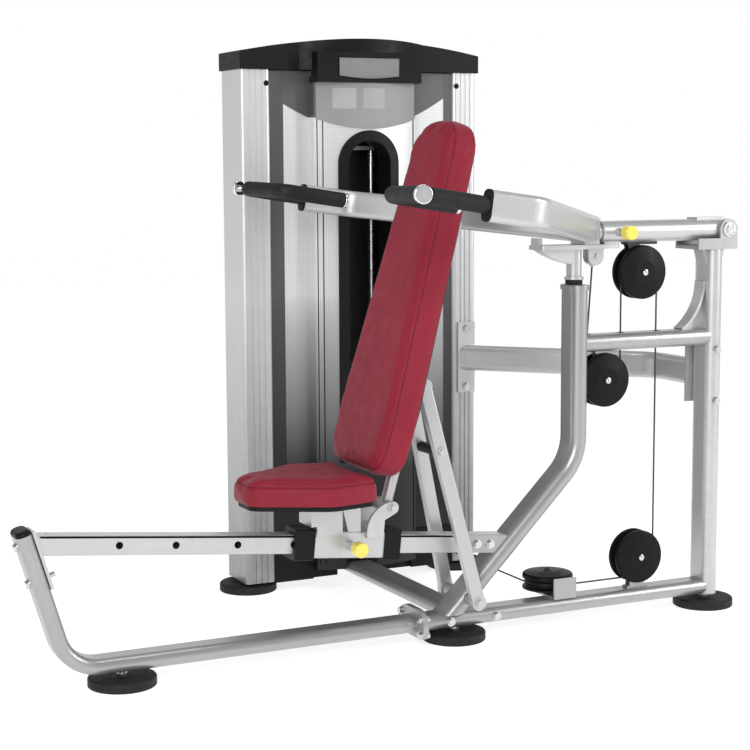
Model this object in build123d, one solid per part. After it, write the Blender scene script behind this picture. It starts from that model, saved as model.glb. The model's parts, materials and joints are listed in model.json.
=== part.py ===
from build123d import *

import math
import os

# Selectorised shoulder press machine: a long floor frame, a pivoting press arm, a sliding seat with a
# reclining backrest, and a weight stack in a shrouded tower.
#
# Row frame, in millimetres: the origin is on the floor under the middle foot, -X is the way the user
# faces, +Y points to the weight tower and +Z is up.

os.makedirs("parts", exist_ok=True)

# ---------------------------------------------------------------- driving dimensions

BASE_Z = 60.0                     # centre height of the floor tubes
BASE_OVAL = (82.0, 41.0)          # floor tubes, long axis level
POST_OVAL = (92.0, 50.0)          # centre post and rear upright, long axis across the machine
MID_OVAL = (80.0, 48.0)           # beam between the post and the upright
LINK_OVAL = (80.0, 40.0)          # tube to the tower, long axis upright
WALL = 3.5

FOOT_R = 87.0
FOOT_T = 25.0
FEET = [(-946.0, 0.0), (0.0, 0.0), (834.0, 0.0), (-296.0, 775.0), (418.0, 775.0)]

JOINT_X = -124.0                  # bolted joint between front and rear floor tubes
FLANGE = (150.0, 88.0, 8.0)       # joint flange: width, height, thickness
RISER_TOP = (-1191.7, 408.5)
RISER_BOLTS = (27.0, 124.0)       # distance of the two plate bolts below the riser's top
BASE_BOLTS = (-31.0, 112.0)
RISER_CORNER_X = -1088.0
BEND_R = 110.0

POST_X = 380.0
POST_TOP = 955.0
UPRIGHT_X = 834.0
UPRIGHT_TOP = 1048.0
MID_Z = 795.0
CROSS_X = 30.0                    # centre of the tube that runs to the tower

PIVOT = (862.0, 1104.0)           # press arm axis, x and z
PIVOT_R = 12.5
BEAM_Z = 1103.0
BEAM_OVAL = (90.0, 60.0)
BEAM_FRONT = 447.0
BEAM_WALL = 4.0
BAR_OVAL = (78.0, 48.0)           # inner bar of the yoke, slides in the beam
ARM_HALF_SPAN = 540.0
ARM_END_X = -202.0
ARM_BEND_X = -59.0
YOKE_X = 461.0                    # where the arms' sloping plane crosses the beam's axis
ARM_MEET_X = 428.0
ARM_LIFT = 3.0                    # of the arms over that plane
ARM_PIN_X = 495.0
REST_TOP = -33.0                  # top of the rest plate from the beam's axis
REST_T = 12.0
YOKE_SLOPE = 0.138                # rise per millimetre forward
ARM_SECTION = (76.0, 38.0)

GRIP_R = 21.0
HANDLE_R = 16.0
HANDLE_INNER_Y = 328.0
HANDLE_FRONT = (-385.0, 547.0)
HANDLE_BEND = 34.0
HANDLE_FREE_X = -175.0

REST_X = 377.0                    # rest leg of the press arm over the centre post

RAIL_SIZE = 50.0
RAIL_TILT = 5.5                   # degrees, front end high
RAIL_REF = (-330.0, 301.4)        # rail axis under the middle of the carriage
RAIL_FRONT = 845.0                # length forward of the reference
RAIL_REAR = 500.0
RAIL_HOLES = [0.0, 155.7, 311.4, 478.0, 626.0]
HOLE_R = 8.0
SLEEVE = 70.0
SLEEVE_LENGTH = 202.0
GLIDE_GAP = 0.5

RECLINE_PIVOT = (-208.0, 391.0)   # backrest hinge on the carriage
RECLINE = 16.0                    # backrest lean from vertical at rest, degrees
STRUT_FOOT = (24.0, 119.0)
STRUT_HEAD = (-116.5, 710.0)
STRUT_Y = 91.0                    # strut centre at the foot; the struts draw together upward
STRUT_HEAD_Y = 46.0
STRUT_SECTION = (38.0, 22.0)
SPACER_SHARE = 0.70               # height of the spacer along the struts

PAD_T = 76.0
PAD_BOARD_T = 10.0
PAD_FRONT_OFFSET = 130.0          # from the backrest tube's axis to the pad's front plane
PAD_ALONG = (78.0, 1030.0)        # pad ends, measured from the hinge along the tube

SEAT_Z = (430.0, 496.0)
SEAT_X = (-628.0, -286.0)
SEAT_WIDEST_X = -430.0
SEAT_HALF = (72.0, 162.0, 142.0)  # half widths at the nose, the widest point and the rear
SEAT_BOARD_T = 10.0

TOWER_X = (-329.0, 457.0)
TOWER_Y = (702.0, 860.0)
TOWER_Z = (32.0, 1570.0)
COLUMN_W = (95.0, 81.0)           # left and right column
TOWER_MID = 61.0
TOWER_TOP = 1662.0
SHIELD_HALF = 168.0
SHIELD_EDGE_Y = 674.0
SHIELD_NOSE_Y = 642.0
SLOT_HALF = (100.0, 70.0)         # slot frame, outer and inner half width
SLOT_Z = (420.0, 1293.0)          # slot foot and the centre of its arch
STACK_Y = 790.0
ROD_OFFSET = 75.0
ROD_R = 10.0
PLATE = (250.0, 105.0, 25.0)
PLATE_PITCH = 26.0
PLATE_Z0 = 150.0
RESTING_PLATES = 13
LIFTED_PLATES = 5
STEM_R = 11.0
CROSSHEAD_Z = 1335.0

CABLE_R = 2.5
WHEEL_R = 60.0                    # radius of the cable line on the small wheels
WHEEL_HALF = 7.0
GUARD_R = 76.0
FLOOR_GUARD_R = 72.0
GUARD_Y = (12.5, 27.0, 33.0)      # guard inner face, rim and crown, from the wheel's mid plane
UPPER_WHEEL = (593.0, 988.0)
MID_WHEEL = (473.0, 689.0)
LOWER_WHEEL = (593.0, 171.0)
FLOOR_WHEEL = (336.0, 60.0, 111.0)
TOWER_CABLE_X = 276.0
TOWER_LOW_R = 33.0
TOWER_LOW_WHEEL = (757.0, 144.0)  # y and z
TOP_WHEEL_R = 107.5
TOP_WHEEL_Z = 1463.0
CABLE_ANCHOR = (436.0, 1008.0)


# ---------------------------------------------------------------- helpers

def write(name, *solids):
    """Writes one node: a single solid, or a group of separate solids."""
    shape = solids[0] if len(solids) == 1 else Compound(children=list(solids))
    export_step(shape, f"parts/{name}.step")


def as_solid(shape):
    """The single solid inside a boolean result."""
    found = shape.solids()
    assert len(found) == 1, f"{len(found)} solids"
    return found[0]


def block(x, y, z):
    """Box from three (low, high) pairs."""
    size = [b - a for a, b in (x, y, z)]
    middle = [(a + b) / 2 for a, b in (x, y, z)]
    return Pos(*middle) * Box(*size)


def rod(start, end, radius):
    """Cylinder between two points."""
    a, b = Vector(*start), Vector(*end)
    plane = Plane(origin=a, z_dir=b - a)
    return extrude(plane * Circle(radius), amount=(b - a).length)


def across(x, z, y0, y1, radius):
    """Cylinder along Y."""
    return rod((x, y0, z), (x, y1, z), radius)


def side_plate(outline, y0, y1):
    """Solid from an outline of (x, z) points, between two y values."""
    wire = Polyline(*[(x, 0, z) for x, z in outline], close=True)
    face = make_face(wire)
    solid = extrude(face, amount=y1 - y0, dir=(0, 1, 0))
    return Pos(0, y0, 0) * solid


def oval_sweep(path, size, long_axis, wall=None):
    """Flat-oval tube along a path; long_axis is the direction of its wider side at the start."""
    start = path @ 0
    plane = Plane(origin=start, z_dir=path % 0, x_dir=long_axis)
    outer = sweep(plane * SlotOverall(*size), path=path)
    if wall is None:
        return outer
    inner = sweep(plane * SlotOverall(size[0] - 2 * wall, size[1] - 2 * wall), path=path)
    return outer - inner


def oval_bar(start, end, size, long_axis, wall=None):
    """Straight flat-oval tube."""
    return oval_sweep(Line(start, end), size, long_axis, wall)


def hex_bolt(point, direction, radius=6.0, shank=24.0, washer=True):
    """Bolt head with washer standing on a face, its shank behind the face."""
    plane = Plane(origin=point, z_dir=direction)
    head_z = 2.0 if washer else 0.0
    head = extrude(plane.offset(head_z) * RegularPolygon(radius * 1.75, 6), amount=radius * 1.1)
    if washer:
        head += extrude(plane * Circle(radius * 2.1), amount=head_z)
    if shank:
        head += extrude(plane * Circle(radius), amount=-shank)
    return head


def dome_guard(inner, rim, crown, radius=GUARD_R):
    """Pulley guard about the local Z axis: flat inside, rounded rim and a shallow domed face."""
    edge = 8.0
    bend = edge * math.sqrt(0.5)
    profile = make_face([
        Line((0, inner), (radius, inner)),
        Line((radius, inner), (radius, rim - edge)),
        ThreePointArc((radius, rim - edge), (radius - edge + bend, rim - edge + bend), (radius - edge, rim)),
        Line((radius - edge, rim), (radius * 0.45, crown)),
        Line((radius * 0.45, crown), (0, crown)),
        Line((0, crown), (0, inner)),
    ])
    return revolve(Plane.XZ * profile, Axis.Z)


def grooved_wheel(line_radius, half_width=WHEEL_HALF, bore=8.05):
    """Cable wheel about the local Z axis, with a round groove, a bore and lightening pockets."""
    wheel = Cylinder(line_radius + 6.0, 2 * half_width)
    groove = revolve(Plane.XZ * Pos(line_radius, 0) * Circle(CABLE_R + 0.4), Axis.Z)
    mouth = Cylinder(line_radius + 8.0, 2 * CABLE_R + 0.8) - Cylinder(line_radius, 2 * CABLE_R + 0.8)
    wheel = wheel - groove - mouth - Cylinder(bore, 4 * half_width)
    pockets = PolarLocations(line_radius * 0.56, 5) * Cylinder(line_radius * 0.17, 4 * half_width)
    return as_solid(wheel - pockets)


FACING_Y = Plane(origin=(0, 0, 0), x_dir=(1, 0, 0), z_dir=(0, -1, 0))
FACING_X = Plane(origin=(0, 0, 0), x_dir=(0, 1, 0), z_dir=(1, 0, 0))


def place(shape, base, origin):
    """Puts a shape built about local Z on a base plane moved to an origin."""
    return Plane(origin=origin, x_dir=base.x_dir, z_dir=base.z_dir) * shape


# ---------------------------------------------------------------- floor frame

def flange_plate(x, direction):
    """Oval joint flange with four bolt holes."""
    width, height, thickness = FLANGE
    plane = Plane(origin=(x, 0, BASE_Z), x_dir=(0, 1, 0), z_dir=(direction, 0, 0))
    plate = extrude(plane * SlotOverall(width, height), amount=thickness)
    for y in (-58.0, 58.0):
        for z in (-22.0, 22.0):
            plate -= rod((x - 20, y, BASE_Z + z), (x + 20, y, BASE_Z + z), 5.5)
    return plate - block((x - 20, x + 20), (-90, 90), (0, FOOT_T + 1.5))


def riser_direction():
    """Unit vector up the leaning front riser."""
    dx, dz = RISER_TOP[0] - RISER_CORNER_X, RISER_TOP[1] - BASE_Z
    length = math.hypot(dx, dz)
    return dx / length, dz / length


def front_base():
    """Floor tube that bends up into the leaning front riser."""
    path = FilletPolyline((JOINT_X, 0, BASE_Z), (RISER_CORNER_X, 0, BASE_Z),
                          (RISER_TOP[0], 0, RISER_TOP[1]), radius=BEND_R)
    tube = oval_sweep(path, BASE_OVAL, (0, 1, 0), WALL)
    tube += flange_plate(JOINT_X, -1)
    tube -= rod((FEET[0][0], 0, 0), (FEET[0][0], 0, BASE_Z), 8.1)
    ux, uz = riser_direction()
    for drop in RISER_BOLTS:
        x, z = RISER_TOP[0] - ux * drop, RISER_TOP[1] - uz * drop
        tube -= rod((x - uz * 40, 0, z + ux * 40), (x + uz * 40, 0, z - ux * 40), 6.1)
    return as_solid(tube)


def riser_cap():
    """Domed plastic plug on the top of the riser."""
    ux, uz = riser_direction()
    plane = Plane(origin=(RISER_TOP[0], 0, RISER_TOP[1]), x_dir=(0, 1, 0), z_dir=(ux, 0, uz))
    cap = extrude(plane * SlotOverall(*BASE_OVAL), amount=13)
    cap = fillet(cap.faces().sort_by(Axis(plane.origin, plane.z_dir))[-1].edges(), 10)
    neck = extrude(plane * SlotOverall(BASE_OVAL[0] - 2 * WALL - 1, BASE_OVAL[1] - 2 * WALL - 1), amount=-18)
    return as_solid(cap + neck)


def rear_base():
    """Floor tube from the joint to the rear upright."""
    end = UPRIGHT_X - POST_OVAL[1] / 2
    tube = oval_bar((JOINT_X, 0, BASE_Z), (end + 8, 0, BASE_Z), BASE_OVAL, (0, 1, 0), WALL)
    tube += flange_plate(JOINT_X, 1)
    tube -= upright_envelope()
    tube -= rod((0, 0, 0), (0, 0, BASE_Z), 8.1)
    for x in BASE_BOLTS:
        tube -= across(x, BASE_Z, -60, 0, 6.05)
    return as_solid(tube)


def cross_base():
    """Floor tube that carries the weight tower."""
    start, end = BASE_OVAL[0] / 2 - 16, TOWER_Y[0] + 33
    tube = oval_bar((CROSS_X, start, BASE_Z), (CROSS_X, end, BASE_Z), BASE_OVAL, (1, 0, 0), WALL)
    base = oval_bar((JOINT_X, 0, BASE_Z), (400, 0, BASE_Z), BASE_OVAL, (0, 1, 0))
    return as_solid(tube - base - oval_sweep(post_path(), POST_OVAL, (0, 1, 0)))


def post_path():
    """Centre line of the post: up at 45 degrees from the floor tube, then vertical."""
    low_x = STRUT_FOOT[0] - (STRUT_FOOT[1] - BASE_Z)
    bend_z = STRUT_FOOT[1] + (POST_X - STRUT_FOOT[0])
    return FilletPolyline((low_x, 0, BASE_Z), (POST_X, 0, bend_z), (POST_X, 0, POST_TOP), radius=150)


def centre_post():
    """Bent post with its top plate, the strut axle and the two ears that hold the seat rail."""
    tube = oval_sweep(post_path(), POST_OVAL, (0, 1, 0), WALL)
    lip = extrude(Pos(POST_X, 0, POST_TOP - 9) * SlotOverall(100, 58, rotation=90), amount=14)
    tube += fillet(lip.edges().group_by(Axis.Z)[-1], 4)
    axle_half = STRUT_Y - STRUT_SECTION[1] / 2 - 3
    tube += across(*STRUT_FOOT, -axle_half, -POST_OVAL[0] / 2 + 6, 17)
    tube += across(*STRUT_FOOT, POST_OVAL[0] / 2 - 6, axle_half, 17)
    x0, x1 = 30.0, 186.0
    slope = math.tan(math.radians(RAIL_TILT))
    top = [rail_z(x) + RAIL_SIZE / 2 - 1 for x in (x0, x1)]
    ear = [(x0, top[0] - 48), (x0, top[0]), (x1, top[1]), (x1 - 30, top[1] - 48 + 30 * slope)]
    for side in (-1, 1):
        inner = RAIL_SIZE / 2 + 0.3
        tube += side_plate(ear, *sorted((side * inner, side * (inner + 6))))
    floor_tube = block((-300, 400), (-60, 60), (0, BASE_Z + 16)) + oval_bar(
        (JOINT_X, 0, BASE_Z), (400, 0, BASE_Z), BASE_OVAL, (0, 1, 0))
    tube -= floor_tube
    tube -= rail_bar(RAIL_FRONT, RAIL_REAR, RAIL_SIZE + 0.4)
    for x in (55.0, 96.0):
        tube -= across(x, rail_z(x), -60, 60, 6.05)
    return as_solid(tube)


def upright_envelope():
    """Solid shape of the rear upright, for trimming the tubes that meet it."""
    return oval_bar((UPRIGHT_X, 0, BASE_Z - BASE_OVAL[1] / 2), (UPRIGHT_X, 0, UPRIGHT_TOP), POST_OVAL, (0, 1, 0))


def rear_upright():
    """Rear column with its foot plate, top gussets and the curved corner gusset over the mid beam."""
    tube = oval_bar((UPRIGHT_X, 0, BASE_Z - BASE_OVAL[1] / 2), (UPRIGHT_X, 0, UPRIGHT_TOP),
                    POST_OVAL, (0, 1, 0), WALL)
    foot_z = BASE_Z - BASE_OVAL[1] / 2
    tube += extrude(Pos(UPRIGHT_X, 0, foot_z) * SlotOverall(*POST_OVAL, rotation=90), amount=5)
    tube -= rod((UPRIGHT_X, 0, 0), (UPRIGHT_X, 0, BASE_Z), 8.1)
    face = POST_OVAL[1] / 2 - 1
    for side in (-1, 1):
        x = UPRIGHT_X + side * face
        tube += side_plate([(x, UPRIGHT_TOP), (x + side * 15, UPRIGHT_TOP), (x, UPRIGHT_TOP - 50)], -22, 22)
    mid_top = MID_Z + MID_OVAL[1] / 2
    corner_x = UPRIGHT_X - POST_OVAL[1] / 2
    low, high = (corner_x - 78, mid_top), (corner_x - 4, mid_top + 136)
    bulge = (corner_x - 22, mid_top + 62)
    outer = ThreePointArc((low[0], 0, low[1]), (bulge[0], 0, bulge[1]), (high[0], 0, high[1]))
    web = make_face([
        outer,
        Line((high[0], 0, high[1]), (corner_x + 1, 0, mid_top + 136)),
        Line((corner_x + 1, 0, mid_top + 136), (corner_x + 1, 0, mid_top)),
        Line((corner_x + 1, 0, mid_top), (low[0], 0, low[1])),
    ])
    tube += Pos(0, -3, 0) * extrude(web, amount=6, dir=(0, 1, 0))
    strip_plane = Plane(origin=outer @ 0, z_dir=outer % 0, x_dir=(0, 1, 0))
    strip = sweep(strip_plane * Rectangle(42, 8), path=outer)
    beam = block((300, corner_x), (-60, 60), (mid_top - 30, mid_top + 0.3))
    tube += strip - beam - upright_envelope()
    for z in (760.0, 610.0):
        tube -= across(UPRIGHT_X, z, -60, 60, 6.05)
    return as_solid(tube)


def mid_beam():
    """Level beam between post and upright, with three vertical cable holes."""
    tube = oval_bar((POST_X, 0, MID_Z), (UPRIGHT_X, 0, MID_Z), MID_OVAL, (0, 1, 0), WALL)
    tube -= oval_bar((POST_X, 0, 500), (POST_X, 0, 1000), POST_OVAL, (0, 1, 0))
    tube -= upright_envelope()
    for x in (421.0, MID_WHEEL[0] + WHEEL_R, UPPER_WHEEL[0] + WHEEL_R):
        tube -= rod((x, 0, MID_Z - 60), (x, 0, MID_Z + 60), 13)
    return as_solid(tube)


def pivot_bracket():
    """Open channel on the upright with two rounded cheeks that hold the pivot shaft."""
    x, z = PIVOT
    cheek_r = 30.0
    base = block((757, x + cheek_r), (-56, 56), (UPRIGHT_TOP, UPRIGHT_TOP + 10))
    for side in (-1, 1):
        y0, y1 = sorted((side * 48, side * 56))
        base += block((757, x + cheek_r), (y0, y1), (UPRIGHT_TOP, UPRIGHT_TOP + 31))
        base += block((x - cheek_r, x + cheek_r), (y0, y1), (UPRIGHT_TOP, z))
        base += across(x, z, y0, y1, cheek_r)
    base -= across(x, z, -80, 80, PIVOT_R)
    return as_solid(base)


def pivot_shaft():
    """Headed shaft of the press arm."""
    x, z = PIVOT
    shaft = across(x, z, -57, 57, PIVOT_R)
    for side in (-1, 1):
        shaft += across(x, z, *sorted((side * 56, side * 60)), 21)
        shaft += across(x, z, *sorted((side * 60, side * 64)), 11)
    return as_solid(shaft)


def tower_link():
    """Bent tube from the upright to the tower, with a bolting plate at each end."""
    z = 684.0
    y_tower = TOWER_Y[0] - 8
    y_upright = POST_OVAL[0] / 2 + 8
    path = FilletPolyline((422, y_tower, z), (UPRIGHT_X, 250, z), (UPRIGHT_X, y_upright, z), radius=120)
    tube = oval_sweep(path, LINK_OVAL, (0, 0, 1), WALL)
    tube += oval_bar((422 - 40, y_tower + 44.15, z), (422, y_tower, z), LINK_OVAL, (0, 0, 1), WALL)
    tube -= block((300, 600), (y_tower, y_tower + 100), (z - 200, z + 200))
    tube += block((392, 451), (y_tower, TOWER_Y[0]), (575, 797))
    tube += block((UPRIGHT_X - 39, UPRIGHT_X + 39), (y_upright - 8, y_upright), (600, 768))
    for bolt_z in (778.0, 593.0):
        tube -= across(421, bolt_z, y_tower - 20, TOWER_Y[0] + 20, 6.05)
    for bolt_z in (760.0, 610.0):
        tube -= across(UPRIGHT_X, bolt_z, 0, 90, 6.05)
    return as_solid(tube)


def feet():
    """Round rubber-edged foot discs."""
    discs = []
    for x, y in FEET:
        disc = Pos(x, y, FOOT_T / 2) * Cylinder(FOOT_R, FOOT_T)
        disc = fillet(disc.edges().group_by(Axis.Z)[-1], 6)
        disc = chamfer(disc.edges().group_by(Axis.Z)[0], 2)
        discs.append(as_solid(disc))
    return discs


def foot_stud(x, y, top):
    """Levelling stud with its lock nut, standing on a foot disc."""
    stud = rod((x, y, FOOT_T), (x, y, top), 8)
    nut = extrude(Pos(x, y, FOOT_T) * RegularPolygon(15, 6), amount=6)
    return as_solid(stud + nut)


def frame_bolts():
    """Levelling studs and every bolt that holds the frame together."""
    parts = [foot_stud(x, y, 60) for x, y in FEET[:3]]
    parts += [foot_stud(x, y, TOWER_Z[0] + 12) for x, y in FEET[3:]]
    thickness = FLANGE[2]
    for y in (-58.0, 58.0):
        for z in (BASE_Z - 22, BASE_Z + 22):
            bolt = hex_bolt((JOINT_X - thickness, y, z), (-1, 0, 0), 5.4, 2 * thickness + 10)
            nut = rod((JOINT_X + thickness, y, z), (JOINT_X + thickness + 8, y, z), 9)
            parts.append(as_solid(bolt + nut))
    half = BASE_OVAL[0] / 2
    for x in BASE_BOLTS:
        parts.append(as_solid(hex_bolt((x, -half, BASE_Z), (0, -1, 0), 6, 20)))
    ux, uz = riser_direction()
    depth = BASE_OVAL[1] / 2
    for drop in RISER_BOLTS:
        x, z = RISER_TOP[0] - ux * drop, RISER_TOP[1] - uz * drop
        head = (x - uz * depth, 0, z + ux * depth)
        parts.append(as_solid(hex_bolt(head, (-uz, 0, ux), 6, 2 * depth + 26)))
    ear = RAIL_SIZE / 2 + 6.3
    for x in (55.0, 96.0):
        bolt = hex_bolt((x, -ear, rail_z(x)), (0, -1, 0), 6, 2 * ear + 8)
        parts.append(as_solid(bolt + across(x, rail_z(x), ear, ear + 8, 10)))
    for z in (778.0, 593.0):
        parts.append(as_solid(hex_bolt((421, TOWER_Y[0] - 8, z), (0, -1, 0), 6, 11)))
    for z in (760.0, 610.0):
        bolt = hex_bolt((UPRIGHT_X, -POST_OVAL[0] / 2, z), (0, -1, 0), 6, POST_OVAL[0] + 18)
        parts.append(as_solid(bolt + across(UPRIGHT_X, z, POST_OVAL[0] / 2 + 8, POST_OVAL[0] / 2 + 16, 10)))
    return parts


# ---------------------------------------------------------------- seat rail and carriage

def rail_z(x):
    """Height of the rail's axis at x."""
    return RAIL_REF[1] - (x - RAIL_REF[0]) * math.tan(math.radians(RAIL_TILT))


def rail_plane(along=0.0):
    """Plane on the rail's axis: local Z runs forward up the rail, local X is +Y."""
    tilt = math.radians(RAIL_TILT)
    forward = Vector(-math.cos(tilt), 0, math.sin(tilt))
    origin = Vector(RAIL_REF[0], 0, RAIL_REF[1]) + forward * along
    return Plane(origin=origin, x_dir=(0, 1, 0), z_dir=forward)


def rail_bar(front, rear, size):
    """Solid square bar along the rail."""
    return extrude(rail_plane(-rear) * RectangleRounded(size, size, 3), amount=front + rear)


def seat_rail():
    """Square rail with its adjustment holes and the plate that bolts to the riser."""
    rail = rail_bar(RAIL_FRONT, RAIL_REAR, RAIL_SIZE) - rail_bar(
        RAIL_FRONT + 1, RAIL_REAR + 1, RAIL_SIZE - 6)
    for along in RAIL_HOLES:
        at = rail_plane(along).origin
        rail -= rod((at.X, -RAIL_SIZE, at.Z), (at.X, 0, at.Z), HOLE_R)
    ux, uz = riser_direction()
    depth = BASE_OVAL[1] / 2
    plate_plane = Plane(origin=(RISER_TOP[0] + uz * depth, 0, RISER_TOP[1] - ux * depth),
                        x_dir=(0, 1, 0), z_dir=(uz, 0, -ux))
    down = Vector(-ux, 0, -uz)
    centre = plate_plane.origin + down * 74
    plate = extrude(Plane(origin=centre, x_dir=(0, 1, 0), z_dir=(uz, 0, -ux)) * Rectangle(66, 152), amount=8)
    behind = Plane(origin=centre, x_dir=(0, 1, 0), z_dir=(uz, 0, -ux))
    rail -= extrude(behind * Rectangle(300, 600), amount=-200)
    rail += plate
    for drop in RISER_BOLTS:
        x, z = RISER_TOP[0] - ux * drop, RISER_TOP[1] - uz * drop
        rail -= rod((x, 0, z), (x + uz * 60, 0, z - ux * 60), 6.1)
    for x in (55.0, 96.0):
        rail -= across(x, rail_z(x), -60, 60, 6.05)
    rail -= oval_sweep(post_path(), POST_OVAL, (0, 1, 0))
    return max(rail.solids(), key=lambda s: s.volume)


def carriage():
    """Sleeve on the rail with the seat support, the pull pin boss and the backrest hooks."""
    half = SLEEVE_LENGTH / 2
    body = extrude(rail_plane(-half) * RectangleRounded(SLEEVE, SLEEVE, 4), amount=SLEEVE_LENGTH)
    top = RAIL_REF[1] + SLEEVE / 2
    seat_under = SEAT_Z[0] - SEAT_BOARD_T
    support = block((-425, -352), (-40, 40), (top - 4, seat_under))
    support += block((-441, -420), (-40, 40), (360, seat_under))
    support -= block((-419, -340), (-34, 34), (top - 10, seat_under - 6))
    support += block((-470, -330), (-60, 60), (seat_under - 6, seat_under))
    body += support
    for side in (-1, 1):
        y0, y1 = sorted((side * 26, side * 32))
        body += side_plate([(-330, top - 8), (-296, top - 8), (-296, seat_under - 6), (-352, seat_under - 6)],
                           y0, y1)
    body += block((-352, -296), (-32, 32), (seat_under - 6, seat_under))
    px, pz = RECLINE_PIVOT
    for side in (-1, 1):
        y0, y1 = sorted((side * 38, side * 46))
        arm = ThreePointArc((-284, 0, top - 12), (-266, 0, pz - 12), (px - 4, 0, pz + 17))
        hook = make_face([
            arm,
            Line((px - 4, 0, pz + 17), (px + 8, 0, pz - 15)),
            Line((px + 8, 0, pz - 15), (-232, 0, pz - 30)),
            Line((-232, 0, pz - 30), (-236, 0, top - 16)),
            Line((-236, 0, top - 16), (-284, 0, top - 12)),
        ])
        body += Pos(0, y0, 0) * extrude(hook, amount=y1 - y0, dir=(0, 1, 0))
        body += across(px, pz, y0, y1, 17)
        foot = block((-284, -236), (min(y0, side * 30), max(y1, side * 30)), (top - 20, top - 6))
        body += foot
        body -= across(px, pz, y0 - 1, y1 + 1, 8)
    boss = rail_plane(0).origin
    body += across(boss.X, boss.Z, -SLEEVE / 2 - 22, -SLEEVE / 2 + 2, 13)
    body -= across(boss.X, boss.Z, -80, 0, 6.05)
    hollow = SLEEVE / 2 - 5
    body -= extrude(rail_plane(-half - 40) * Rectangle(2 * hollow, 2 * hollow), amount=SLEEVE_LENGTH + 80)
    axle = across(px, pz, -46, 46, 8)
    for side in (-1, 1):
        axle += across(px, pz, *sorted((side * 46, side * 49)), 15)
        axle += across(px, pz, *sorted((side * 49, side * 56)), 9.5)
    return as_solid(body + axle)


def glide_collars():
    """Plastic glides at both ends of the sleeve."""
    half = SLEEVE_LENGTH / 2
    hole = RAIL_SIZE + 2 * GLIDE_GAP
    inner = SLEEVE - 10
    collars = []
    for start, length, lip in ((half, 56, -20), (-half - 48, 48, 48)):
        collar = extrude(rail_plane(start) * RectangleRounded(SLEEVE + 6, SLEEVE + 12, 5), amount=length)
        lip_start = start + lip
        collar += extrude(rail_plane(lip_start) * Rectangle(inner, inner), amount=20)
        collar -= extrude(rail_plane(start - 60) * Rectangle(hole, hole), amount=length + 120)
        collars.append(as_solid(collar))
    return collars


def pull_pin(x, z, face_y, tip_y, reach=46.0):
    """Pull pin along -Y: knob and plunger, two pieces."""
    plunger = across(x, z, face_y - reach, tip_y, 6)
    knob = across(x, z, face_y - reach - 20, face_y - reach + 12, 20)
    knob = fillet(knob.edges(), 5)
    knob -= across(x, z, face_y - reach, face_y, 6)
    return as_solid(knob), as_solid(plunger)


# ---------------------------------------------------------------- seat and backrest

def seat_outline(inset=0.0):
    """Plan of the seat: a rounded nose, widest two thirds back, slightly narrower at the rear."""
    nose, wide, rear = (half - inset for half in SEAT_HALF)
    front_x, rear_x = SEAT_X[0] + inset, SEAT_X[1] - inset
    right = [(front_x, -nose * 0.9), (SEAT_WIDEST_X, -wide - 6), (rear_x, -rear)]
    left = [(x, -y) for x, y in reversed(right)]
    nose_r, rear_r = 56.0 - inset, 36.0 - inset
    radii = [nose_r, 60, rear_r, rear_r, 60, nose_r]
    return make_face(FilletPolyline(*right, *left, radius=radii, close=True))


def seat_cushion():
    """Foam seat cushion."""
    pad = extrude(Pos(0, 0, SEAT_Z[0]) * seat_outline(), amount=SEAT_Z[1] - SEAT_Z[0])
    return as_solid(fillet(pad.edges().group_by(Axis.Z)[-1], 14))


def seat_board():
    """Board under the cushion."""
    return as_solid(extrude(Pos(0, 0, SEAT_Z[0] - SEAT_BOARD_T) * seat_outline(14), amount=SEAT_BOARD_T))


def back_plane(offset):
    """Plane parallel to the pad: origin by the hinge, local Y up the backrest, local Z forward."""
    lean = math.radians(RECLINE)
    forward = Vector(-math.cos(lean), 0, math.sin(lean))
    up = Vector(math.sin(lean), 0, math.cos(lean))
    origin = Vector(RECLINE_PIVOT[0], 0, RECLINE_PIVOT[1]) + forward * offset
    return Plane(origin=origin, x_dir=up.cross(forward), z_dir=forward)


def back_outline(inset=0.0):
    """Outline of the backrest: wide below, tapering to a round top."""
    low, high = PAD_ALONG[0] + inset, PAD_ALONG[1] - inset
    right = [(162 - inset, low), (172 - inset, low + 150), (118 - inset, high)]
    left = [(-x, y) for x, y in reversed(right)]
    foot, crown = 74.0 - inset, 98.0 - inset
    return make_face(FilletPolyline(*right, *left, radius=[foot, 60, crown, crown, 60, foot], close=True))


def backrest_pad():
    """Foam backrest pad."""
    back = PAD_FRONT_OFFSET - PAD_T
    pad = extrude(back_plane(back) * back_outline(), amount=PAD_T)
    front_axis = Axis(back_plane(0).origin, back_plane(0).z_dir)
    return as_solid(fillet(pad.edges().group_by(front_axis)[-1], 13))


def backrest_board():
    """Board behind the backrest pad."""
    back = PAD_FRONT_OFFSET - PAD_T - PAD_BOARD_T
    return as_solid(extrude(back_plane(back) * back_outline(30), amount=PAD_BOARD_T))


def backrest_frame():
    """Tube behind the backrest with the hinge sleeve, two pad plates and the strut lugs."""
    plane = back_plane(0)
    up = plane.y_dir
    start = plane.origin

    def along(distance):
        return start + up * distance

    radius = 15.5
    tube = rod(tuple(along(0)), tuple(along(780)), radius)
    tube += across(*RECLINE_PIVOT, -36, 36, 17)
    gap = PAD_FRONT_OFFSET - PAD_T - PAD_BOARD_T
    for distance in (250.0, 640.0):
        centre = along(distance)
        spacer = Plane(origin=centre, x_dir=plane.x_dir, z_dir=plane.z_dir)
        tube += extrude(spacer * Rectangle(38, 70), amount=gap)
        tube += extrude(spacer.offset(gap - 6) * Rectangle(170, 70), amount=6)
    hx, hz = STRUT_HEAD
    lug_half = STRUT_HEAD_Y - STRUT_SECTION[1] / 2 - 2
    tube += across(hx, hz, -lug_half, lug_half, 14)
    tube -= across(*RECLINE_PIVOT, -40, 40, 8.05)
    return as_solid(tube)


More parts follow.
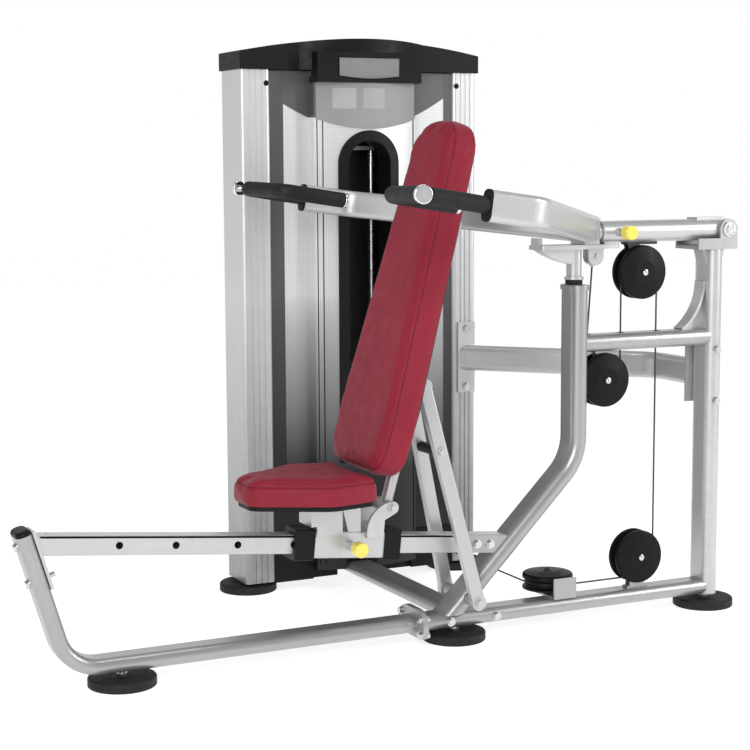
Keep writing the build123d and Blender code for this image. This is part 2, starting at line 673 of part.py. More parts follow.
def strut_point(share):
    """Centre of the strut at a share of its length, with y as the distance from the middle plane."""
    (x0, z0), (x1, z1) = STRUT_FOOT, STRUT_HEAD
    y = STRUT_Y + (STRUT_HEAD_Y - STRUT_Y) * share
    return x0 + (x1 - x0) * share, y, z0 + (z1 - z0) * share


def strut_bar(side):
    """One recline strut with a round eye at each end, and the bolts of its foot, spacer and head."""
    foot, head = strut_point(0.0), strut_point(1.0)
    start = Vector(foot[0], side * foot[1], foot[2])
    along = Vector(head[0], side * head[1], head[2]) - start
    plane = Plane(origin=start, x_dir=Vector(along.Z, 0, -along.X), z_dir=along)
    bar = extrude(plane * RectangleRounded(*STRUT_SECTION, 5), amount=along.length)
    half = STRUT_SECTION[1] / 2
    for share, eye in ((0.0, 21), (SPACER_SHARE, 15), (1.0, 21)):
        x, y, z = strut_point(share)
        bar += across(x, z, *sorted((side * (y - half), side * (y + half))), eye)
        bar += across(x, z, *sorted((side * (y + half), side * (y + half + 3))), 15)
        bar += across(x, z, *sorted((side * (y + half + 3), side * (y + half + 9))), 10)
    return as_solid(bar)


def strut_spacer():
    """Cross tube that ties the two struts together."""
    x, y, z = strut_point(SPACER_SHARE)
    half = y - STRUT_SECTION[1] / 2 - 2
    return as_solid(across(x, z, -half, half, 14))


# ---------------------------------------------------------------- press arm

def press_beam():
    """Flat-oval sleeve with the pivot boss, the pull pin boss and the ledge for the rest plate."""
    rear = PIVOT[0] + 20
    beam = oval_bar((BEAM_FRONT, 0, BEAM_Z), (rear, 0, BEAM_Z), BEAM_OVAL, (0, 1, 0), BEAM_WALL)
    beam += across(*PIVOT, -47, 47, 22)
    top = BEAM_Z + BEAM_OVAL[1] / 2
    beam += block((772, rear - 4), (-24, 24), (top - 2, top + 5))
    beam += across(ARM_PIN_X, BEAM_Z, -BEAM_OVAL[0] / 2 - 20, -BEAM_OVAL[0] / 2 + 2, 12)
    beam -= across(ARM_PIN_X, BEAM_Z, -80, -30, 6.05)
    beam -= across(*PIVOT, -60, 60, PIVOT_R + 0.05)
    return as_solid(beam)


def rest_leg():
    """Plate under the beam with the neck that stands on the post, and a curved stiffening rib."""
    top = BEAM_Z + REST_TOP
    low = top - REST_T
    plate = block((250, 505), (-40, 40), (low, top))
    plate = fillet(plate.edges().filter_by(Axis.Z), 14)
    plate += block((250, 262), (-20, 20), (top - 1, top + 20))
    plate += block((456, 505), (-30, 30), (top - 1, BEAM_Z - BEAM_OVAL[1] / 2 + 6))
    plate -= oval_bar((BEAM_FRONT - 10, 0, BEAM_Z), (600, 0, BEAM_Z), BEAM_OVAL, (0, 1, 0))
    neck_low = POST_TOP + 5 + 14
    plate += rod((REST_X, 0, neck_low), (REST_X, 0, low + 2), 21)
    plate += rod((REST_X, 0, neck_low), (REST_X, 0, neck_low + 7), 27)
    arc = ThreePointArc((256, 0, low), (306, 0, low - 26), (REST_X, 0, low - 44))
    rib = make_face([
        arc,
        Line((REST_X, 0, low - 44), (REST_X, 0, low)),
        Line((REST_X, 0, low), (256, 0, low)),
    ])
    plate += Pos(0, -19, 0) * extrude(rib, amount=38, dir=(0, 1, 0))
    return as_solid(plate)


def arm_lugs():
    """Cable lug under the rest plate and the hanger of the upper pulley."""
    plate_low = BEAM_Z + REST_TOP - REST_T
    lug_x = 440.0
    lugs = across(lug_x, 1036, -14, 14, 25) + block((lug_x - 25, lug_x + 25), (-14, 14), (1036, plate_low))
    lugs -= block((300, 600), (-40, 40), (plate_low, plate_low + 60))
    lugs += rod((CABLE_ANCHOR[0], 0, CABLE_ANCHOR[1] + 0.3), (CABLE_ANCHOR[0], 0, 1030), 7)
    lugs += across(lug_x + 4, 1037, -18, 18, 8)
    beam_low = BEAM_Z - BEAM_OVAL[1] / 2
    x, z = UPPER_WHEEL
    hanger = block((x - 50, x + 48), (-18, 18), (beam_low - 7, beam_low + 6))
    hanger -= oval_bar((540, 0, BEAM_Z), (660, 0, BEAM_Z), BEAM_OVAL, (0, 1, 0))
    strap = [(x - 46, beam_low - 6), (x - 8, beam_low - 6), (x + 15, z), (x - 15, z)]
    for side in (-1, 1):
        y0, y1 = sorted((side * 8.5, side * 12))
        hanger += side_plate(strap, y0, y1) + across(x, z, y0, y1, 15)
    hanger += across(x, z, -12, 12, 8)
    return [as_solid(lugs), as_solid(hanger)]


def yoke_height(x):
    """Height of the yoke's sloping plane."""
    return BEAM_Z + ARM_LIFT + YOKE_SLOPE * (YOKE_X - x)


def yoke():
    """Two bent arms that meet in a hub, with the inner bar that slides in the beam."""
    normal = Vector(YOKE_SLOPE, 0, 1).normalized()
    bar_rear = 660.0
    body = oval_bar((400, 0, BEAM_Z), (bar_rear, 0, BEAM_Z), BAR_OVAL, (0, 1, 0), 5)
    for side in (-1, 1):
        points = [(ARM_END_X, side * ARM_HALF_SPAN), (ARM_BEND_X, side * ARM_HALF_SPAN), (ARM_MEET_X, side * 14)]
        path = FilletPolyline(*[(x, y, yoke_height(x)) for x, y in points], radius=70)
        plane = Plane(origin=path @ 0, z_dir=path % 0, x_dir=normal)
        bore = (ARM_SECTION[0] - 2 * WALL, ARM_SECTION[1] - 2 * WALL)
        arm = sweep(plane * RectangleRounded(*ARM_SECTION, 15), path=path)
        arm -= sweep(plane * RectangleRounded(*bore, 12), path=path)
        end_plate = extrude(plane * RectangleRounded(*ARM_SECTION, 15), amount=18)
        body += arm + end_plate - rod(*handle_socket(side, 0, 60), HANDLE_R)
    hub = block((385, BEAM_FRONT - 5), (-42, 42), (BEAM_Z + REST_TOP + 1, BEAM_Z + 38))
    hub = fillet(hub.edges().filter_by(Axis.Z), 16)
    body += hub
    return as_solid(body)


def handle_socket(side, back, ahead):
    """Ends of the handle tube's first run, from inside the arm's end to just before it."""
    root, outer = handle_points(side)[:2]
    direction = (outer - root).normalized()
    return tuple(root - direction * (14 + back)), tuple(root + direction * ahead)


def arm_end_caps():
    """Oval plastic caps on the arm ends."""
    caps = []
    for side in (-1, 1):
        centre = (ARM_END_X, side * ARM_HALF_SPAN, yoke_height(ARM_END_X))
        plane = Plane(origin=centre, z_dir=(-1, 0, YOKE_SLOPE), x_dir=(YOKE_SLOPE, 0, 1))
        cap = extrude(plane * RectangleRounded(ARM_SECTION[0] + 2, ARM_SECTION[1] + 2, 17), amount=7)
        cap = fillet(cap.faces().sort_by(Axis(plane.origin, plane.z_dir))[-1].edges(), 3)
        cap -= rod(*handle_socket(side, 20, 60), HANDLE_R)
        caps.append(as_solid(cap))
    return caps


def handle_points(side):
    """Outer root, front outer corner, front inner corner and free inner end of a handle."""
    spots = [(ARM_END_X, ARM_HALF_SPAN), HANDLE_FRONT,
             (HANDLE_FRONT[0] + 31, HANDLE_INNER_Y), (HANDLE_FREE_X, HANDLE_INNER_Y)]
    rise = 0.155
    z0 = yoke_height(ARM_END_X)
    return [Vector(x, side * y, z0 + (ARM_END_X - x) * rise) for x, y in spots]


def handle_core(side, radius, back, stub):
    """Round bar along the whole handle, with a stub that stands out of its front outer corner."""
    root, outer, inner, free = handle_points(side)
    start = root - (outer - root).normalized() * back
    path = FilletPolyline(start, outer, inner, free, radius=[HANDLE_BEND, HANDLE_BEND])
    plane = Plane(origin=path @ 0, z_dir=path % 0)
    bar = sweep(plane * Circle(radius), path=path)
    outward = (outer - inner).normalized()
    return bar + rod(tuple(outer - outward * 44), tuple(outer + outward * stub), radius)


def handle_tube(side):
    """U-shaped steel tube of one handle, with the stub that carries the chrome cap."""
    return as_solid(handle_core(side, HANDLE_R, 14, 14))


def grip_sleeve(side):
    """Rubber sleeve round the whole loop of one handle."""
    root, outer, inner, free = handle_points(side)
    root += (outer - root).normalized() * 9
    path = FilletPolyline(root, outer, inner, free, radius=[HANDLE_BEND, HANDLE_BEND])
    plane = Plane(origin=path @ 0, z_dir=path % 0)
    sleeve = sweep(plane * Circle(GRIP_R), path=path)
    outward = (outer - inner).normalized()
    sleeve += rod(tuple(outer - outward * 44), tuple(outer + outward * 13.9), GRIP_R)
    return as_solid(sleeve - handle_core(side, HANDLE_R + 0.02, 14, 40))


def handle_caps(side):
    """Chrome cap at the outer corner and the plug in the free end."""
    root, outer, inner, free = handle_points(side)
    outward = (outer - inner).normalized()
    a, b = outer + outward * 14, outer + outward * 25
    cap = fillet(rod(tuple(a), tuple(b), 22.5).edges(), 3)
    back = (free - inner).normalized()
    plug = fillet(rod(tuple(free), tuple(free + back * 12), GRIP_R).edges(), 5)
    return [as_solid(cap), as_solid(plug)]


# ---------------------------------------------------------------- weight tower

def column(x0, x1):
    """Fluted hollow column casing."""
    plan = Pos((x0 + x1) / 2, (TOWER_Y[0] + TOWER_Y[1]) / 2) * RectangleRounded(
        x1 - x0, TOWER_Y[1] - TOWER_Y[0], 12)
    height = TOWER_Z[1] - TOWER_Z[0]
    body = extrude(Pos(0, 0, TOWER_Z[0]) * plan, amount=height)
    for share in (0.30, 0.50, 0.70):
        x = x0 + (x1 - x0) * share
        body -= block((x - 4, x + 4), (TOWER_Y[0] - 1, TOWER_Y[0] + 2.5), TOWER_Z)
    inner = Pos((x0 + x1) / 2, (TOWER_Y[0] + TOWER_Y[1]) / 2) * Rectangle(
        x1 - x0 - 12, TOWER_Y[1] - TOWER_Y[0] - 12)
    body -= extrude(Pos(0, 0, TOWER_Z[0] + 12) * inner, amount=height)
    return body


def tower_columns():
    """Left and right column, with the holes for the feet and the link bolts."""
    inner = tower_inner()
    left = column(TOWER_X[0], inner[0])
    right = column(inner[1], TOWER_X[1])
    left -= rod((*FEET[3], 0), (*FEET[3], 80), 8.1)
    right -= rod((*FEET[4], 0), (*FEET[4], 80), 8.1)
    for z in (778.0, 593.0):
        right -= across(421, z, TOWER_Y[0] - 5, TOWER_Y[0] + 20, 6.05)
    return [as_solid(left), as_solid(right)]


def tower_inner():
    """Inner faces of the two columns, as x values."""
    return TOWER_X[0] + COLUMN_W[0], TOWER_X[1] - COLUMN_W[1]


def rod_spots():
    """x of the two guide rods."""
    return TOWER_MID - ROD_OFFSET, TOWER_MID + ROD_OFFSET


def tower_frame():
    """Base beam and crosshead between the columns, with the wheel supports welded on."""
    x0, x1 = tower_inner()
    base = block((x0, x1), (735, 845), (40, 80)) - block((x0 - 1, x1 + 1), (741, 839), (39, 74))
    low_y, low_z = TOWER_LOW_WHEEL
    for side in (-1, 1):
        lo, hi = sorted((TOWER_CABLE_X + side * 9, TOWER_CABLE_X + side * 14))
        base += block((lo, hi), (low_y - 14, low_y + 14), (78, low_z))
        base += rod((lo, low_y, low_z), (hi, low_y, low_z), 14)
    base += rod((TOWER_CABLE_X - 14, low_y, low_z), (TOWER_CABLE_X + 14, low_y, low_z), 8)
    for x in rod_spots():
        base -= rod((x, STACK_Y, 60), (x, STACK_Y, 90), ROD_R)
    head = block((x0, x1), (745, 835), (CROSSHEAD_Z, CROSSHEAD_Z + 12))
    for x in rod_spots():
        head -= rod((x, STACK_Y, CROSSHEAD_Z - 5), (x, STACK_Y, CROSSHEAD_Z + 6), ROD_R)
    wheel_x = TOWER_CABLE_X - TOP_WHEEL_R
    for x in (TOWER_CABLE_X, TOWER_CABLE_X - 2 * TOP_WHEEL_R):
        head -= rod((x, STACK_Y, CROSSHEAD_Z - 5), (x, STACK_Y, CROSSHEAD_Z + 20), 9)
    for side in (-1, 1):
        y0, y1 = sorted((STACK_Y + side * 9, STACK_Y + side * 14))
        head += block((wheel_x - 30, wheel_x + 30), (y0, y1), (CROSSHEAD_Z + 12, TOP_WHEEL_Z))
        head += across(wheel_x, TOP_WHEEL_Z, y0, y1, 30)
    head += across(wheel_x, TOP_WHEEL_Z, STACK_Y - 14, STACK_Y + 14, 8)
    return [as_solid(base), as_solid(head)]


def tower_cap():
    """Arched black cover over the whole tower, hollow below."""
    x0, x1 = TOWER_X[0] - 4, TOWER_X[1] + 4
    z0 = TOWER_Z[1]

    def outline(inset, low):
        left = (x0 + inset, low)
        right = (x1 - inset, low)
        shoulder = 52 - inset
        arch = ThreePointArc((left[0], 0, z0 + shoulder), (TOWER_MID, 0, TOWER_TOP - inset),
                             (right[0], 0, z0 + shoulder))
        return make_face([
            arch,
            Line((right[0], 0, z0 + shoulder), (right[0], 0, low)),
            Line((right[0], 0, low), (left[0], 0, low)),
            Line((left[0], 0, low), (left[0], 0, z0 + shoulder)),
        ])

    def plan(inset):
        y_back = TOWER_Y[1] + 3 - inset
        y_side = TOWER_Y[0] - 8 + inset
        nose = ThreePointArc((TOWER_MID - 205 + inset, y_side), (TOWER_MID, SHIELD_NOSE_Y - 8 + inset),
                             (TOWER_MID + 205 - inset, y_side))
        return make_face([
            nose,
            Line((TOWER_MID + 205 - inset, y_side), (x1 - inset, y_side)),
            Line((x1 - inset, y_side), (x1 - inset, y_back)),
            Line((x1 - inset, y_back), (x0 + inset, y_back)),
            Line((x0 + inset, y_back), (x0 + inset, y_side)),
            Line((x0 + inset, y_side), (TOWER_MID - 205 + inset, y_side)),
        ])

    def slab(inset, low):
        front = Pos(0, 500, 0) * extrude(outline(inset, low), amount=500, dir=(0, 1, 0))
        return front & extrude(Pos(0, 0, low - 10) * plan(inset), amount=300)

    shell = slab(0, z0) - slab(5, z0 - 20)
    half = SHIELD_HALF
    sign = block((TOWER_MID - half - 4, TOWER_MID + half + 4), (634, 700), (1533, 1622))
    sign = fillet(sign.edges().filter_by(Axis.Z).group_by(Axis.Y)[0], 3)
    sign -= block((TOWER_MID - half - 0.5, TOWER_MID + half + 0.5), (638, 720), (1500, 1616))
    behind = slab(5, z0 - 20)
    return as_solid(shell + (sign - behind))


def shield_profile(front, thickness, half):
    """Plan of a bulged sheet: a shallow arc between two straight side flanges."""
    nose = SHIELD_NOSE_Y + front
    edge = SHIELD_EDGE_Y + front
    outer = ThreePointArc((TOWER_MID - half, edge), (TOWER_MID, nose), (TOWER_MID + half, edge))
    inner = ThreePointArc((TOWER_MID + half, edge + thickness), (TOWER_MID, nose + thickness),
                          (TOWER_MID - half, edge + thickness))
    return make_face([
        outer,
        Line((TOWER_MID + half, edge), (TOWER_MID + half, edge + thickness)),
        inner,
        Line((TOWER_MID - half, edge + thickness), (TOWER_MID - half, edge)),
    ])


def slot_body(half, y0, y1, foot=SLOT_Z[0]):
    """Solid in the shape of the arched slot."""
    arch_z = SLOT_Z[1]
    body = block((TOWER_MID - half, TOWER_MID + half), (y0, y1), (foot, arch_z))
    return body + across(TOWER_MID, arch_z, y0, y1, half)


def sign_shield():
    """Bulged front cover of the stack with the arched slot."""
    shield = extrude(Pos(0, 0, 60) * shield_profile(0, 4, SHIELD_HALF), amount=TOWER_Z[1] - 62)
    for side in (-1, 1):
        x = TOWER_MID + side * SHIELD_HALF
        shield += block(sorted((x, x - side * 4)), (SHIELD_EDGE_Y + 1, 718), (60, TOWER_Z[1] - 2))
    shield -= slot_body(SLOT_HALF[0] - 12, 600, 720)
    shield -= block((CROSS_X - 50, CROSS_X + 50), (600, 760), (30, 90))
    return as_solid(shield)


def slot_frame():
    """Arched frame that lines the slot and reaches back towards the stack."""
    outer, inner = SLOT_HALF
    rim = slot_body(outer, 600, SHIELD_EDGE_Y, foot=SLOT_Z[0] - 30)
    rim -= slot_body(inner, 590, 730)
    skin = extrude(Pos(0, 0, 100) * shield_profile(-5, 5, SHIELD_HALF), amount=1440)
    rim &= skin
    tunnel = slot_body(outer - 12.3, SHIELD_NOSE_Y - 2, 726) - slot_body(inner, 590, 740)
    clear = extrude(Pos(0, 0, 100) * shield_profile(-60, 55.5, SHIELD_HALF), amount=1440)
    return as_solid(rim + (tunnel - clear))


def sign_placard():
    """Curved plate above the slot."""
    plate = extrude(Pos(0, 0, 1300) * shield_profile(-3, 3, SHIELD_HALF), amount=252)
    sag = 458.0
    half = SHIELD_HALF - 5
    cut = across(TOWER_MID, SLOT_Z[1] + SLOT_HALF[0] + 4 + sag, 560, 760, sag)
    return as_solid(plate & cut & block((TOWER_MID - half, TOWER_MID + half), (560, 760), (1300, 1600)))


def side_panels():
    """Recessed front panels either side of the shield."""
    x0, x1 = tower_inner()
    panels = []
    for lo, hi in ((x0, TOWER_MID - SHIELD_HALF), (TOWER_MID + SHIELD_HALF, x1)):
        panel = block((lo, hi), (712, 716), (150, TOWER_Z[1] - 2))
        fold = block((lo, lo + 4), (712, 742), (150, TOWER_Z[1] - 2))
        fold += block((hi - 4, hi), (712, 742), (150, TOWER_Z[1] - 2))
        panels.append(as_solid(panel + fold))
    return panels


def kick_panel():
    """Low front cover with notches for the floor tube and the cable."""
    x0, x1 = tower_inner()
    low = 27.0
    panel = block((x0, TOWER_MID - SHIELD_HALF), (706, 712), (low, 150))
    other = block((TOWER_MID + SHIELD_HALF, x1), (706, 712), (low, 150))
    other -= rod((TOWER_CABLE_X, 690, FLOOR_WHEEL[2]), (TOWER_CABLE_X, 760, FLOOR_WHEEL[2]), 12)
    tie = block((x0, x1), (719, 725), (low, 150))
    tie -= block((CROSS_X - 50, CROSS_X + 50), (690, 760), (20, 90))
    tie -= block((TOWER_CABLE_X - 16, TOWER_CABLE_X + 16), (690, 760), (94, 160))
    links = block((x0, x0 + 8), (706, 725), (low, 150)) + block((x1 - 8, x1), (706, 725), (low, 150))
    return as_solid(panel + other + tie + links)


def rear_shroud():
    """Folded sheet behind the stack."""
    x0, x1 = tower_inner()
    sheet = block((x0, x1), (850, 853), (60, TOWER_Z[1] - 2))
    for lo in (x0, x1 - 3):
        sheet += block((lo, lo + 3), (846, 853), (60, TOWER_Z[1] - 2))
    return as_solid(sheet)


def weight_plate(z, radius=ROD_R + 1.0, thickness=PLATE[2]):
    """One plate with its rod holes, stem hole and pin hole."""
    plate = Pos(TOWER_MID, STACK_Y, z + thickness / 2) * Box(PLATE[0], PLATE[1], thickness)
    plate = fillet(plate.edges().filter_by(Axis.Z), 8)
    for x in rod_spots():
        plate -= rod((x, STACK_Y, z - 1), (x, STACK_Y, z + thickness + 1), radius)
    plate -= rod((TOWER_MID, STACK_Y, z - 1), (TOWER_MID, STACK_Y, z + thickness + 1), STEM_R + 1.5)
    front = STACK_Y - PLATE[1] / 2
    return as_solid(plate - across(TOWER_MID, z + 12.5, front - 1, STACK_Y, 5.6))


def plate_z(index):
    """Underside of plate number index, counted from the bottom."""
    return PLATE_Z0 + index * PLATE_PITCH


def stack_head():
    """Head plate and selector stem, welded together."""
    z = plate_z(RESTING_PLATES + LIFTED_PLATES)
    head = Pos(TOWER_MID, STACK_Y, z + 16) * Box(PLATE[0], PLATE[1], 32)
    head = fillet(head.edges().filter_by(Axis.Z), 8)
    for x in rod_spots():
        head -= rod((x, STACK_Y, z - 1), (x, STACK_Y, z + 40), ROD_R + 0.4)
    head += rod((TOWER_MID, STACK_Y, PLATE_Z0 + 6), (TOWER_MID, STACK_Y, z + 70), STEM_R)
    for index in range(RESTING_PLATES + LIFTED_PLATES):
        head -= across(TOWER_MID, plate_z(index) + 12.5, STACK_Y - 20, STACK_Y + 20, 5.6)
    return as_solid(head)


def selector_pin():
    """Pin under the lowest lifted plate's edge, with its knob."""
    z = plate_z(RESTING_PLATES) + 12.5
    front = STACK_Y - PLATE[1] / 2
    pin = across(TOWER_MID, z, front - 24, STACK_Y + 8, 5.3)
    knob = fillet(across(TOWER_MID, z, front - 44, front - 12, 17).edges(), 4)
    return as_solid(pin + knob)


def rubber_bumpers():
    """Bumper on the centre post and the two bumpers under the stack."""
    post = rod((POST_X - 3, 0, POST_TOP + 5), (POST_X - 3, 0, POST_TOP + 18.8), 24)
    low = []
    for x in rod_spots():
        ring = rod((x, STACK_Y, 80), (x, STACK_Y, PLATE_Z0 - 0.3), 24)
        low.append(as_solid(ring - rod((x, STACK_Y, 79), (x, STACK_Y, PLATE_Z0), ROD_R)))
    return [as_solid(post), *low]


# ---------------------------------------------------------------- pulleys and cable

def pulley_guards():
    """Domed guards of the frame's pulleys, in pairs; the mid pair is notched to clear the post."""
    near_guard, floor_guard = dome_guard(*GUARD_Y), dome_guard(*GUARD_Y, FLOOR_GUARD_R)
    clear = tuple(size + 3 for size in POST_OVAL)
    post = oval_bar((POST_X, 0, 500), (POST_X, 0, 900), clear, (0, 1, 0))
    guards = []
    for x, z in (MID_WHEEL, LOWER_WHEEL):
        guards.append(place(near_guard, FACING_Y, (x, 0, z)) - post)
        guards.append(Plane(origin=(x, 0, z), x_dir=(1, 0, 0), z_dir=(0, 1, 0)) * near_guard - post)
    x, y, z = FLOOR_WHEEL
    guards.append(Pos(x, y, z) * floor_guard)
    thin = Pos(x, y, z - 15.5) * Cylinder(FLOOR_GUARD_R, 5)
    guards.append(thin - rod((x, y, 80), (x, y, 100), 8))
    return [as_solid(guard) for guard in guards]


def upper_guards():
    """Domed guards of the pulley under the press arm."""
    x, z = UPPER_WHEEL
    near = place(dome_guard(*GUARD_Y), FACING_Y, (x, 0, z))
    far = Plane(origin=(x, 0, z), x_dir=(1, 0, 0), z_dir=(0, 1, 0)) * dome_guard(*GUARD_Y)
    return [as_solid(near), as_solid(far)]


def strap_pair(x, z, top_x0, top_x1, top_z):
    """Two straps from a beam to a wheel axle, with the axle."""
    outline = [(top_x0, top_z), (top_x1, top_z), (x + 15, z), (x - 15, z)]
    body = across(x, z, -12, 12, 8)
    for side in (-1, 1):
        y0, y1 = sorted((side * 8.5, side * 12))
        body += side_plate(outline, y0, y1) + across(x, z, y0, y1, 15)
    return body


def pulley_brackets():
    """Straps and spindles that carry the frame's pulleys."""
    mid_low = MID_Z - MID_OVAL[1] / 2
    x, z = MID_WHEEL
    mid = strap_pair(x, z, x - 26, x + 9, mid_low)
    mid += block((x - 32, x + 15), (-14, 14), (mid_low - 6, mid_low))
    base_top = BASE_Z + BASE_OVAL[1] / 2
    x, z = LOWER_WHEEL
    low = strap_pair(x, z, x - 26, x + 26, base_top)
    low += block((x - 34, x + 34), (-12, 12), (base_top, base_top + 6))
    fx, fy, fz = FLOOR_WHEEL
    floor = block((fx - 36, fx + 36), (-36, fy + 30), (base_top, base_top + 6))
    floor += block((fx - 36, fx + 36), (-36, -30), (base_top, base_top + 58))
    floor += rod((fx, fy, base_top), (fx, fy, fz + 12.5), 8)
    return [as_solid(mid), as_solid(low), as_solid(floor)]


def cable_along(points, radii):
    """Round cable along straight runs joined by arcs."""
    path = FilletPolyline(*points, radius=radii)
    plane = Plane(origin=path @ 0, z_dir=path % 0)
    return as_solid(sweep(plane * Circle(CABLE_R), path=path))


def arm_cable():
    """Cable from the arm's lug down round the mid wheel, over the arm's wheel and down to the low wheel."""
    r = WHEEL_R
    ax, az = CABLE_ANCHOR
    mx, mz = MID_WHEEL
    ux, uz = UPPER_WHEEL
    lean = math.asin(r / math.hypot(mx - ax, az - mz)) - math.atan2(mx - ax, az - mz)
    low_corner_x = ax - math.tan(lean) * (az - mz + r)
    points = [(ax, 0, az), (low_corner_x, 0, mz - r), (mx + r, 0, mz - r),
              (ux - r, 0, uz + r), (ux + r, 0, uz + r), (LOWER_WHEEL[0] + r, 0, LOWER_WHEEL[1] + 4)]
    return cable_along(points, [r - 0.01] * 4)


def drive_cable():
    """Cable from the low wheel round the floor wheel, into the tower, over the top wheel to the stack."""
    r = WHEEL_R
    lx, lz = LOWER_WHEEL
    fx, fy, fz = FLOOR_WHEEL
    top = TOP_WHEEL_Z + TOP_WHEEL_R
    stack_top = plate_z(RESTING_PLATES + LIFTED_PLATES) + 70
    points = [(lx + r, 0, lz + 3.5), (lx + r, 0, lz - r), (fx - r, 0, fz), (fx - r, STACK_Y, fz),
              (fx - r, STACK_Y, top), (fx - r - 2 * TOP_WHEEL_R, STACK_Y, top),
              (fx - r - 2 * TOP_WHEEL_R, STACK_Y, stack_top)]
    radii = [r, r, TOWER_LOW_R, TOP_WHEEL_R - 0.02, TOP_WHEEL_R - 0.02]
    return cable_along(points, radii)


def wheels():
    """Every cable wheel by node name."""
    small = grooved_wheel(WHEEL_R)
    lx, lz = LOWER_WHEEL
    return {
        "upper_pulley_wheel": place(small, FACING_Y, (UPPER_WHEEL[0], 0, UPPER_WHEEL[1])),
        "mid_pulley_wheel": place(small, FACING_Y, (MID_WHEEL[0], 0, MID_WHEEL[1])),
        "lower_pulley_wheel": place(small, FACING_Y, (lx, 0, lz)),
        "floor_pulley_wheel": Pos(*FLOOR_WHEEL) * small,
        "tower_low_wheel": place(grooved_wheel(TOWER_LOW_R), FACING_X, (TOWER_CABLE_X, *TOWER_LOW_WHEEL)),
        "tower_top_wheel": place(grooved_wheel(TOP_WHEEL_R), FACING_Y,
                                 (TOWER_CABLE_X - TOP_WHEEL_R, STACK_Y, TOP_WHEEL_Z)),
    }


# ---------------------------------------------------------------- build everything

def build_frame():
    """Floor frame, posts and their fittings."""
    write("front_base_tube", front_base())
    write("riser_end_cap", riser_cap())
    write("rear_base_tube", rear_base())
    write("cross_tube", cross_base())
    write("centre_post", centre_post())
    write("rear_upright", rear_upright())
    write("mid_beam", mid_beam())
    write("pivot_bracket", pivot_bracket())
    write("pivot_shaft", pivot_shaft())
    write("tower_link", tower_link())
    write("foot_discs", *feet())
    write("frame_bolts", *frame_bolts())
    write("seat_rail", seat_rail())
    write("rubber_bumpers", *rubber_bumpers())


def build_seat():
    """Carriage, seat, backrest and recline struts."""
    write("carriage", carriage())
    write("glide_collars", *glide_collars())
    at = rail_plane(0).origin
    knob, plunger = pull_pin(at.X, at.Z, -SLEEVE / 2, -RAIL_SIZE / 2 - 0.6, 58.0)
    write("carriage_pin_knob", knob)
    write("carriage_pin_plunger", plunger)
    write("seat_board", seat_board())
    write("seat_cushion", seat_cushion())
    write("backrest_frame", backrest_frame())
    write("backrest_board", backrest_board())
    write("backrest_pad", backrest_pad())
    write("recline_struts", strut_bar(-1), strut_bar(1))
    write("strut_spacer", strut_spacer())


def build_arm():
    """Press arm, yoke, handles and the arm's pulley."""
    write("press_beam", press_beam())
    write("rest_leg", rest_leg())
    write("arm_lugs", *arm_lugs())
    write("yoke", yoke())
    write("arm_end_caps", *arm_end_caps())
    write("handle_tubes", handle_tube(-1), handle_tube(1))
    write("hand_grips", grip_sleeve(-1), grip_sleeve(1))
    write("handle_caps", *handle_caps(-1), *handle_caps(1))
    knob, plunger = pull_pin(ARM_PIN_X, BEAM_Z, -BEAM_OVAL[0] / 2, -BAR_OVAL[0] / 2 - 0.6)
    write("arm_pin_knob", knob)
    write("arm_pin_plunger", plunger)
    write("upper_pulley_guards", *upper_guards())


def build_tower():
    """Weight tower and stack."""
    write("tower_columns", *tower_columns())
    write("tower_frame", *tower_frame())
    write("tower_cap", tower_cap())
    write("side_panels", *side_panels())
    write("sign_shield", sign_shield())
    write("slot_frame", slot_frame())
    write("sign_placard", sign_placard())
    write("kick_panel", kick_panel())
    write("rear_shroud", rear_shroud())
    rods = [as_solid(rod((x, STACK_Y, 60), (x, STACK_Y, CROSSHEAD_Z + 6), ROD_R)) for x in rod_spots()]
    write("guide_rods", *rods)
    write("resting_plates", *[weight_plate(plate_z(i)) for i in range(RESTING_PLATES)])
    lifted = range(RESTING_PLATES, RESTING_PLATES + LIFTED_PLATES)
    write("lifted_plates", *[weight_plate(plate_z(i)) for i in lifted])
    write("stack_head", stack_head())
    write("selector_pin", selector_pin())


def build_cable_drive():
    """Pulleys, guards, brackets and cable."""
    for name, wheel in wheels().items():
        write(name, as_solid(wheel))
    write("pulley_guards", *pulley_guards())
    write("pulley_brackets", *pulley_brackets())
    write("arm_cable", arm_cable())
    write("drive_cable", drive_cable())


build_frame()
build_seat()
build_arm()
build_tower()
build_cable_drive()
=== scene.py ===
"""Visual model of the shoulder press machine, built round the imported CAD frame. Metres."""

import json
import math

import bmesh
import bpy
from mathutils import Matrix, Vector
from mathutils.bvhtree import BVHTree


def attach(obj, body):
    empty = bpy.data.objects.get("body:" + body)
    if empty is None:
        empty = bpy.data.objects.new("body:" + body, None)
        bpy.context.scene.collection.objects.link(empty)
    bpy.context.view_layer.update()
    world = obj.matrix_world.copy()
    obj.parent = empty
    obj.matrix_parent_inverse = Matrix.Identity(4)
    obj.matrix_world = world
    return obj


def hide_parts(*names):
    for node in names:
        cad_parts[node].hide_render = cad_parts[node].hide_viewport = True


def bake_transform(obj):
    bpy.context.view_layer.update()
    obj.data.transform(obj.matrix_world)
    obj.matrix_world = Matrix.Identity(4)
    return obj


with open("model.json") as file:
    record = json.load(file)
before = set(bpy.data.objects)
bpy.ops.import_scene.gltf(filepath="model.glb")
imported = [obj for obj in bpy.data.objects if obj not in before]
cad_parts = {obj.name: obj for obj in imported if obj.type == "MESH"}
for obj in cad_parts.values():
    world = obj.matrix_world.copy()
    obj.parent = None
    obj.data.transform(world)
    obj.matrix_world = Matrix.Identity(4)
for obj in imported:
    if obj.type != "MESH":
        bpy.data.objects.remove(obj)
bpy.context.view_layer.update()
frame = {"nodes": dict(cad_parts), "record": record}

# ---------------------------------------------------------------- dimensions repeated from the CAD

